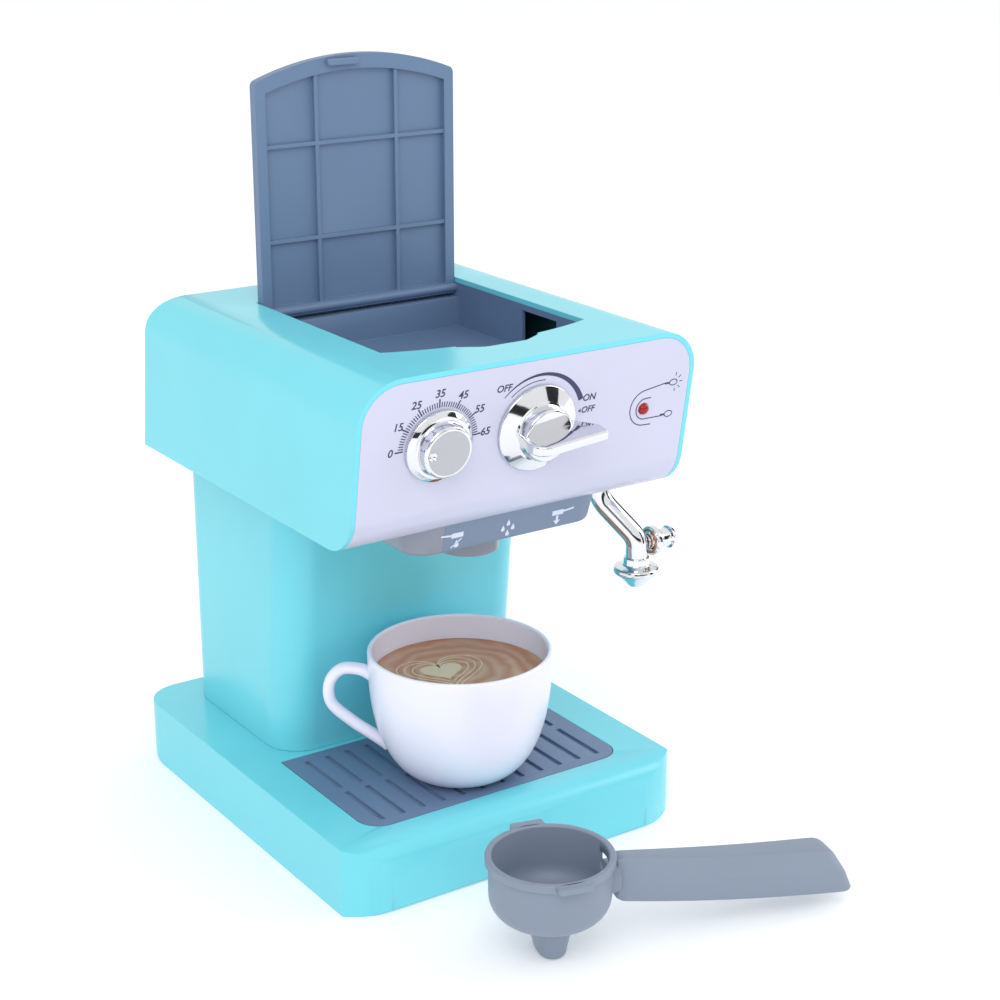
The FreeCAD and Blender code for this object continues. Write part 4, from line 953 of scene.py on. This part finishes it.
def mode_marks():
    """A crescent that grows from OFF to ON, a thin line inside it, the words and a pointer."""
    count = 60
    crescent = ribbon(arc(24.0 * MM, 138.0, 22.0, count), np.linspace(0.3, 2.6, count) * MM)
    parts = [crescent, ribbon(arc(21.4 * MM, 132.0, 84.0), 0.35 * MM)]
    for words, high, x, y in (("OFF", 4.3, -18.5, 20.5), ("ON", 4.3, 26.5, 9.2), ("OFF", 4.0, 26.5, 3.6)):
        parts.append(lettering(words, high * MM, x * MM, y * MM))
    parts.append(plate(np.array([(21.4, 3.6), (22.8, 2.7), (22.8, 4.5)]) * MM))
    return parts


def lamp_marks():
    """Two hooked lines round the lamp, one to a steam sign above it and one to a wand sign below."""
    outer = np.concatenate([[(68.0, 9.0)], arc(8.4, 100, 262, 40) + [58.5, -1.0], [(62.5, -9.6)]])
    inner = np.concatenate([[(61.0, 3.4)], arc(5.0, 110, 268, 30) + [58.5, -1.5], [(68.0, -6.6)]])
    steam, wand = np.array([(72.6, 8.8), (72.0, -6.2)])
    head, stem = oval(4.2, 2.8), np.array([(-4.6, 0.0), (-2.2, 0.0)])
    head = np.concatenate([head, head[:1]])
    # Each line's points and its width, in millimetres.
    lines = [(outer, 0.45), (inner, 0.45), (head + steam, 0.4), (stem + steam, 0.9)]
    for angle in np.radians([80, 40, 0, -40, -80]):
        ray = np.outer([3.0, 4.6], [math.cos(angle), math.sin(angle)])
        lines.append((ray + steam + [0.4, 0.0], 0.35))
    lines += [(head + wand, 0.4), (stem + wand, 0.9)]
    return [ribbon(line * MM, wide * MM) for line, wide in lines]


# The brew head's foot lies this far below its solid's.
BREW_BELOW = 2.5 * MM
BREW_TALL = 16.8 * MM
# Its sides lean in by this much from its top to its foot.
BREW_LEAN = 4.0 * MM
BREW_CORNER = 15.0 * MM
BREW_RIM = 1.8 * MM
CORNER_STEPS = 24
FOIL_THICK = 0.12 * MM
# The signs on the foil stand this far off it.
SIGN_GAP = 0.04 * MM


class COFFEE_OT_brew(CoffeeOperator, bpy.types.Operator):
    """Finish the brew head with its band, signs and outlet"""

    bl_idname = "coffee.brew"
    bl_label = "Brew Head"

    def execute(self, context):
        settings = context.scene.coffee_controls
        casing = context.scene.coffee_casing
        grey = gloss_abs("brew_head_abs", tuple(casing.brew))
        moulded_copy("brew_outlet", grey, "root", casing.edge)
        low, high = box_of("brew_head")
        low[2] -= BREW_BELOW
        rings = brew_rings(low, high)
        make_piece("brew_head_moulded", closed_grid(rings), grey, "root", ("brew_head",))
        band = satin_polypropylene("band_foil", tuple(settings.decal))
        foil = brew_band(rings, np.array([high[0] - BREW_CORNER, low[1] + BREW_CORNER]))
        make_piece("brew_band", closed_grid(foil), band, "root")
        pale = printed_ink("sign_ink", tuple(settings.pale_ink))
        points, faces = join(brew_signs())
        x, rise, out = points.T
        front = low[1] + brew_lean(rise) - FOIL_THICK - SIGN_GAP
        spots = np.column_stack([x, front - out, low[2] + rise])
        make_piece("brew_signs", (spots, faces), pale, "root")
        return {"FINISHED"}


def brew_lean(rise):
    """How far a side leans in at a height over the foot: most at the foot, evenly less up to the top."""
    return BREW_LEAN * (1 - rise / BREW_TALL)


def brew_rings(low, high):
    """Outlines from the foot up: the sides lean in towards it, and its rim is a quarter round."""
    back_corner, waist = 2 * MM, 6 * MM
    angle = np.linspace(0, math.pi / 2, 7)
    plan = round_corners(
        rectangle(low[0], low[1], high[0], high[1]),
        [BREW_CORNER, BREW_CORNER, back_corner, back_corner],
        CORNER_STEPS,
    )
    rise = np.concatenate([BREW_RIM * (1 - np.cos(angle)), [waist, BREW_TALL]])
    insets = brew_lean(rise)
    insets[: len(angle)] += BREW_RIM * (1 - np.sin(angle))
    return stacked(plan, insets, low[2] + rise)


def brew_band(rings, centre):
    """A foil over the front: the block's own skin and, outside it, the same skin moved outwards.

    It runs from near the left end of the front's flat to two thirds round the right corner, and
    up from halfway round the lower rim. On the corner, outwards is away from the corner's centre.
    """
    left_margin, halfway_up = 3 * MM, 3
    first, beyond = CORNER_STEPS, CORNER_STEPS + 2 + CORNER_STEPS * 2 // 3
    skin = rings[halfway_up:, first:beyond].copy()
    skin[:, 0, 0] += left_margin
    out = np.where(skin[..., :1] > centre[0], skin[..., :2] - centre, [0.0, -1.0])
    out /= np.linalg.norm(out, axis=-1)[..., None]
    over = skin.copy()
    over[..., :2] += out * FOIL_THICK
    return np.concatenate([skin, over[::-1]]).transpose(1, 0, 2)


def drop(wide, high, x, y):
    """A drop standing on its round end: (0.77 w sin t sin^2(t / 2), h / 2 cos t).

    The factor 0.77 makes it w wide at its widest.
    """
    t = np.linspace(0, 2 * math.pi, 28, endpoint=False)
    outline = np.column_stack([wide * np.sin(t) * np.sin(t / 2) ** 2 * 0.77, high / 2 * np.cos(t)])
    return plate(outline[::-1] + [x, y])


def brew_signs():
    """A filter with a crossed drop, four drops, and a filter with an arrow, as x and height."""
    parts = []
    for x, side in ((-29.0, -1), (27.0, 1)):
        block = rectangle(-3.0, -1.2, 3.0, 1.2) + [x - side * 1.6, 8.0]
        stem = np.array([(0.0, 0.0), (side * 5.5, 0.6)]) + [x + side * 1.4, 8.2]
        parts += [plate(block * MM), ribbon(stem * MM, 0.9 * MM)]
    parts.append(drop(2.6 * MM, 3.8 * MM, -27.5 * MM, 4.0 * MM))
    parts.append(ribbon(np.array([(-30.2, 2.2), (-25.0, 6.0)]) * MM, 0.6 * MM))
    for x, y in ((0.0, 2.4), (-2.6, 0.0), (2.6, 0.0), (0.0, -2.6)):
        parts.append(drop(1.9 * MM, 3.2 * MM, (x - 1.0) * MM, (6.2 + y) * MM))
    parts.append(ribbon(np.array([(25.4, 6.4), (25.4, 4.0)]) * MM, 1.2 * MM))
    parts.append(plate(np.array([(25.4, 2.0), (27.2, 4.2), (23.6, 4.2)]) * MM))
    return parts


class COFFEE_OT_wand(CoffeeOperator, bpy.types.Operator):
    """Make the steam wand, its bell and its valve"""

    bl_idname = "coffee.wand"
    bl_label = "Steam Wand"

    def execute(self, context):
        moulded_copy("steam_wand_tube", chrome(), "wand", 0.0)
        moulded_copy("wand_collar", chrome(), "root", 0.3 * MM)
        make_bell()
        make_valve()
        return {"FINISHED"}


def make_bell():
    """A bell turned round an upright axis: a narrow foot, a swell at half height and a neck."""
    low, high = box_of("steam_nozzle")
    middle = (low + high) / 2
    radius, tall = (high[0] - low[0]) / 2, high[2] - low[2]
    profile = turned_profile(
        [
            (0.0, 0.0, 0.0),
            (radius * 0.38, 0.0, 1 * MM),
            (radius * 0.62, tall * 0.2, 5 * MM),
            (radius, tall * 0.5, 1.6 * MM),
            (radius * 0.96, tall * 0.66, 1.2 * MM),
            (radius * 0.58, tall * 0.74, 0.9 * MM),
            (radius * 0.55, tall, 0.5 * MM),
            (0.0, tall, 0.0),
        ],
        8,
    )
    shape = lathe(profile, 96) + [middle[0], middle[1], low[2]]
    make_piece("steam_bell_plated", closed_grid(shape), chrome(), "wand", ("steam_nozzle",))


def make_valve():
    """A valve turned round an axis that runs to the right, with a bronze ring on its seat."""
    low, high = box_of("steam_valve")
    middle = (low + high) / 2
    radius, long = (high[2] - low[2]) / 2, high[0] - low[0]

    def laid(turned):
        """Lays a shape turned round Z along the valve's axis."""
        y, z, x = np.moveaxis(turned, -1, 0)
        return np.stack([low[0] + x, middle[1] + y, middle[2] + z], -1)

    profile = turned_profile(
        [
            (0.0, 0.0, 0.0),
            (radius * 0.5, 0.0, 0.3 * MM),
            (radius * 0.5, long * 0.12, 0.3 * MM),
            (radius, long * 0.14, 0.7 * MM),
            (radius, long * 0.34, 1.0 * MM),
            (radius * 0.62, long * 0.5, 1.2 * MM),
            (radius * 0.62, long * 0.8, 0.5 * MM),
            (radius * 0.8, long * 0.86, 0.5 * MM),
            (radius * 0.7, long, 1.0 * MM),
            (0.0, long, 0.0),
        ],
        6,
    )
    valve = closed_grid(laid(lathe(profile, 72)))
    make_piece("steam_valve_plated", valve, chrome(), "wand", ("steam_valve",))
    ring = laid(lathe(oval(1.3 * MM, 0.9 * MM, 16) + [radius * 0.76, long * 0.13], 72))
    seat = (ring.reshape(-1, 3), grid_faces(*ring.shape[:2], looped=True))
    bronze = bronze_plating()
    make_piece("steam_valve_seat", seat, bronze, "wand")


class COFFEE_OT_cup(CoffeeOperator, bpy.types.Operator):
    """Make the cup, its handle and the coffee"""

    bl_idname = "coffee.cup"
    bl_label = "Cup"

    def execute(self, context):
        settings = context.scene.coffee_cup
        white = gloss_abs("cup_abs", tuple(settings.white))
        low, high = box_of("cup")
        disc_low, disc_high = box_of("coffee_disc")
        axis = (disc_low + disc_high) / 2
        profile = cup_profile(settings, high[0] - axis[0], high[2] - low[2])
        shape = lathe(profile, 160) + [axis[0], axis[1], low[2]]
        make_piece("cup_bowl", closed_grid(shape), white, "cup", ("cup",), 50.0)
        make_cup_handle(settings, white, axis, low[2])
        make_coffee(settings, disc_low, disc_high)
        return {"FINISHED"}


def cup_profile(settings, rim, tall):
    """A wall of even width with a hollow foot and a round lip.

    Its side swells from the foot to the rim as (1 - (1 - t)^2.6)^0.55, with t the share of height.
    """
    foot, wall = settings.foot, settings.wall
    rise = np.linspace(0, 1, 48) ** 1.6
    swell = (1 - (1 - rise) ** 2.6) ** 0.55
    outside = np.column_stack([foot + (rim - foot) * swell, tall * rise])
    outside = outside[outside[:, 1] < tall - wall / 2]
    lip = arc(wall / 2, 0, 180, 12) + [rim - wall / 2, tall - wall / 2]
    inside = np.column_stack([outside[::-1, 0] - wall, np.maximum(outside[::-1, 1], wall)])
    hollow = 1.0 * MM
    base = [(0.0, hollow), (foot - 3.5 * MM, hollow), (foot - 2.5 * MM, 0.0)]
    return np.concatenate([base, outside, lip, inside, [(0.0, wall)]])


def make_cup_handle(settings, material, axis, floor):
    """An oval strap carried along an ear-shaped curve in the handle's upright plane.

    It swells by 0.28 s^6, with s 0 at its middle and 1 at either end.
    """
    # Distance from the cup's axis and height over its foot, in millimetres.
    ear = [(39, 47.5), (46, 51), (54.5, 51.2), (60, 44.5)]
    ear += [(59.4, 34.5), (50.5, 25.5), (41, 18.5), (33.5, 13.5)]
    curve = smooth_path(np.array(ear) * MM, 90)
    ahead = np.array([math.cos(settings.handle_turn), math.sin(settings.handle_turn), 0.0])
    across = np.array([-ahead[1], ahead[0], 0.0])
    path = axis * [1, 1, 0] + curve[:, :1] * ahead + (curve[:, 1:] + floor) * [0.0, 0.0, 1.0]
    swell = 1 + 0.28 * np.linspace(-1, 1, len(path)) ** 6
    strap = sweep(path, across, oval(settings.strap_wide, settings.strap_thick, 32), swell)
    make_piece("cup_handle_strap", closed_grid(strap), material, "cup")


def make_coffee(settings, low, high):
    """A disc with a raised rim where the drink climbs the wall, and a pale heart with rings on it.

    The rim falls off as exp(-d / 1.2 mm), with d the distance from the wall. The heart is the curve
    (16 sin^3 t, 13 cos t - 5 cos 2t - 2 cos 3t - cos 4t).
    """
    axis, radius = (low + high) / 2, (high[0] - low[0]) / 2
    cream = tuple(settings.crema)
    coffee = printed_coffee(tuple(settings.coffee), cream)
    climb, fall_off = 0.5 * MM, 1.2 * MM
    r = radius * np.linspace(1, 0, 24)
    level = high[2] - climb
    top = np.column_stack([r, level + climb * np.exp((r - radius) / fall_off)])
    profile = np.concatenate([[(0.0, low[2]), (radius - 0.4 * MM, low[2])], top])
    disc = lathe(profile, 128) + [axis[0], axis[1], 0.0]
    make_piece("coffee_surface", closed_grid(disc), coffee, "cup", ("coffee_disc",))
    pale = moulded_finish("crema_print", cream, 0.3, 1.0 * MM, 0.01 * MM, 0.1)
    t = np.linspace(0, 2 * math.pi, 96, endpoint=False)
    heart = np.column_stack(
        [16 * np.sin(t) ** 3, 13 * np.cos(t) - 5 * np.cos(2 * t) - 2 * np.cos(3 * t) - np.cos(4 * t)]
    )
    thick = 0.1 * MM
    parts = [plate(heart[::-1] * 0.62 * MM + [0.0, 2.0 * MM], 0.0, thick)]
    for scale in (0.84, 1.06, 1.28):
        ring = np.concatenate([heart, heart[:1]]) * scale * MM + [0.0, 1.6 * MM]
        parts.append(ribbon(ring, 0.7 * MM, 0.0, thick))
    points, faces = join(parts)
    x, y = turned_by(math.radians(-12), points[:, 0], points[:, 1])
    off_middle = np.array([-6.0, 4.0, 0.05]) * MM
    spots = np.column_stack([x, y, points[:, 2]]) + [axis[0], axis[1], level] + off_middle
    make_piece("latte_heart", (spots, faces), pale, "cup")


# Height of the middle of the portafilter's grip at the bowl.
GRIP_LEVEL = 30.5 * MM


class COFFEE_OT_portafilter(CoffeeOperator, bpy.types.Operator):
    """Make the portafilter's bowl, lugs and handle"""

    bl_idname = "coffee.portafilter"
    bl_label = "Portafilter"

    def execute(self, context):
        settings = context.scene.coffee_filter
        finish = satin_polypropylene("portafilter_polypropylene", tuple(settings.slate))
        low, high = box_of("portafilter_bowl")
        origin = (low + high) / 2 * [1, 1, 0]
        c, s = math.cos(settings.turn), math.sin(settings.turn)
        turn = np.array([[c, s, 0.0], [-s, c, 0.0], [0.0, 0.0, 1.0]])

        def placed(grid):
            """A closed shape from a grid given along, across and up the portafilter."""
            return closed_grid(grid @ turn + origin)

        def add(name, shape, *nodes):
            """A piece of the portafilter that stands for the nodes named."""
            return make_piece(name, shape, finish, "portafilter", nodes)

        bowl = add("portafilter_bowl_turned", placed(lathe(bowl_profile(settings))), "portafilter_bowl")
        carve(bowl, placed(window_rings(settings)))
        lug = lug_rings(settings)
        add("portafilter_lugs", join([placed(lug), placed(lug * [-1, -1, 1])]))
        add("portafilter_spout_tapered", placed(spout_rings(settings.low)), "portafilter_spout")
        add("portafilter_grip", placed(grip_rows(settings)), "portafilter_handle")
        add("portafilter_neck", placed(neck_rings(settings)))
        return {"FINISHED"}


def bowl_profile(settings):
    """A bowl with a rounded underside, a thicker rim and a bore with a rounded floor."""
    radius, bore, top, base = settings.radius, settings.bore, settings.top, settings.low
    side, floor = radius - 1.5 * MM, base + settings.floor
    return turned_profile(
        [
            (0.0, base, 0.0),
            (side, base, 11 * MM),
            (side, top - 4.2 * MM, 0.8 * MM),
            (radius, top - 3.4 * MM, 0.6 * MM),
            (radius, top, 0.8 * MM),
            (bore, top, 0.8 * MM),
            (bore, floor, 9 * MM),
            (0.0, floor, 0.0),
        ],
        10,
    )


def window_rings(settings):
    """A block with rounded corners that runs outwards through the wall on the grip's side."""
    half, low, high = 5 * MM, settings.top - 12 * MM, settings.top - 5 * MM
    corners = [3.4 * MM, 3.4 * MM, 1.2 * MM, 1.2 * MM]
    outline = round_corners(rectangle(-half, low, half, high), corners)
    hole = slab(outline, settings.bore - 4 * MM, settings.radius + 2 * MM)
    return np.stack([hole[..., 2], hole[..., 0], hole[..., 1]], -1)


def lug_rings(settings):
    """A flat tab with soft edges that stands out of the bowl's rim."""
    half, thick, corner, rim = 7.5 * MM, 2.6 * MM, 1.4 * MM, 0.5 * MM
    inner, outer = settings.bore + 1 * MM, settings.radius + 3.4 * MM
    outline = round_corners(rectangle(-half, inner, half, outer), corner)
    return slab(outline, settings.top - thick, settings.top, rim, rim)


def spout_rings(top):
    """A collar that tapers into two merged lobes.

    The section is r (1 - e cos 2a), with e growing from 0 at the collar to 0.22 at the mouth.
    """
    angle = np.linspace(0, 2 * math.pi, 96, endpoint=False)
    heights = np.array([17.2, 15.5, 14.0, 11.5, 8.0, 4.5, 2.0, 0.8, 0.2, 0.0]) * MM
    radii = np.array([12.0, 11.8, 11.2, 10.0, 9.0, 8.2, 7.8, 7.2, 6.4, 5.6]) * MM
    share = np.clip(1 - heights / top, 0, 1)
    r = radii[:, None] * (1 - 0.22 * share[:, None] * np.cos(2 * angle))
    return np.stack([r * np.cos(angle), r * np.sin(angle), heights[:, None] + 0 * r], -1)


def grip_rows(settings):
    """A loft whose section keeps a crease on each side, from the bowl (s = 0) to its end (s = 1).

    Its width grows from 14 to 26 mm as s^0.7 and its height evenly from 20 to 21 mm. Its middle
    falls evenly by 13 mm, and by 1.2 sin(pi s) more on the way. Both ends draw in round. The lower
    edge runs on past the upper one, by 0.48 s^3 of the height, so the end face slants.
    """
    corners = [(-0.5, 0.1), (-0.4, -0.5), (0.4, -0.5), (0.5, 0.1), (0.27, 0.5), (-0.27, 0.5)]
    u, v = round_corners(corners, [0.05, 0.12, 0.12, 0.05, 0.16, 0.16], 6).T
    straight, end, neck = 0.93, 0.07, 0.03
    turn = np.linspace(0.05, math.pi / 2, 14)
    s = np.concatenate([np.linspace(0, straight, 60), straight + end * np.sin(turn)])[:, None]
    draw_in = np.sqrt(np.clip(1 - 0.3 * (np.clip(s - straight, 0, 1) / end) ** 4, 0, 1))
    draw_in = draw_in * (1 - 0.1 * np.clip(1 - s / neck, 0, 1) ** 2)
    start = settings.radius + 1.2 * MM
    along = start + (settings.handle_end - start) * s
    wide, high = (14 + 12 * s**0.7) * MM * draw_in, (20 + s) * MM * draw_in
    level = GRIP_LEVEL - (13.0 * s + 1.2 * np.sin(math.pi * s)) * MM
    return np.stack([along - 0.48 * s**3 * high * v, wide * u, level + high * v], -1)


def neck_rings(settings):
    """A short round bar that runs from inside the bowl's wall into the grip."""
    radius, long = 7.5 * MM, 5 * MM
    bar = lathe(rectangle(0.0, 0.0, radius, long), 48)
    return np.stack([settings.radius - 3 * MM + bar[..., 2], bar[..., 0], GRIP_LEVEL + bar[..., 1]], -1)


class COFFEE_OT_inside(CoffeeOperator, bpy.types.Operator):
    """Finish the feet, screws, battery bay, speaker, board and switches"""

    bl_idname = "coffee.inside"
    bl_label = "Inside"

    def execute(self, context):
        steel = zinc_steel()
        dark = moulded_finish("black_nylon", linear("17191C"), 0.5, 0.6 * MM, 0.02 * MM)
        rubber = moulded_finish("moulded_rubber", linear("3C3F43"), 0.75, 0.4 * MM, 0.04 * MM)
        wrap = moulded_finish("cell_wrap", linear("2B2D33"), 0.3, 1.0 * MM, 0.01 * MM)
        board = moulded_finish("solder_mask", linear("1D5A34"), 0.35, 0.8 * MM, 0.02 * MM)
        for material, nodes in (
            (steel, ("base_screws", "rear_cover_screws", "battery_door_screw", "battery_contacts")),
            (steel, ("timer_shaft", "mode_shaft")),
            (dark, ("battery_box", "speaker", "timer_ratchet", "mode_switch")),
            (rubber, ("rubber_feet",)),
            (wrap, ("batteries",)),
            (board, ("circuit_board",)),
            (turquoise(context), ("board_standoffs",)),
        ):
            for node in nodes:
                paint(node, material)
        return {"FINISHED"}


class COFFEE_PT_panel(bpy.types.Panel):
    """Lists the steps in the sidebar"""

    bl_idname = "COFFEE_PT_panel"
    bl_label = "Toy Coffee Maker"
    bl_space_type = "VIEW_3D"
    bl_region_type = "UI"
    bl_category = "Coffee Maker"

    def draw(self, context):
        for step in OPERATORS:
            self.layout.operator(step.bl_idname)


OPERATORS = (
    COFFEE_OT_stage,
    COFFEE_OT_casing,
    COFFEE_OT_bin,
    COFFEE_OT_controls,
    COFFEE_OT_print,
    COFFEE_OT_brew,
    COFFEE_OT_wand,
    COFFEE_OT_cup,
    COFFEE_OT_portafilter,
    COFFEE_OT_inside,
)
SETTINGS = {
    "coffee_stage": CoffeeStageSettings,
    "coffee_casing": CoffeeCasingSettings,
    "coffee_controls": CoffeeControlSettings,
    "coffee_cup": CoffeeCupSettings,
    "coffee_filter": CoffeeFilterSettings,
}


def register():
    for kind in (*SETTINGS.values(), *OPERATORS, COFFEE_PT_panel):
        bpy.utils.register_class(kind)
    for name, kind in SETTINGS.items():
        setattr(bpy.types.Scene, name, PointerProperty(type=kind))


def unregister():
    for name in SETTINGS:
        delattr(bpy.types.Scene, name)
    for kind in reversed((*SETTINGS.values(), *OPERATORS, COFFEE_PT_panel)):
        bpy.utils.unregister_class(kind)


def main():
    register()
    for step in OPERATORS:
        group, name = step.bl_idname.split(".")
        getattr(getattr(bpy.ops, group), name)()


if __name__ == "__main__":
    main()
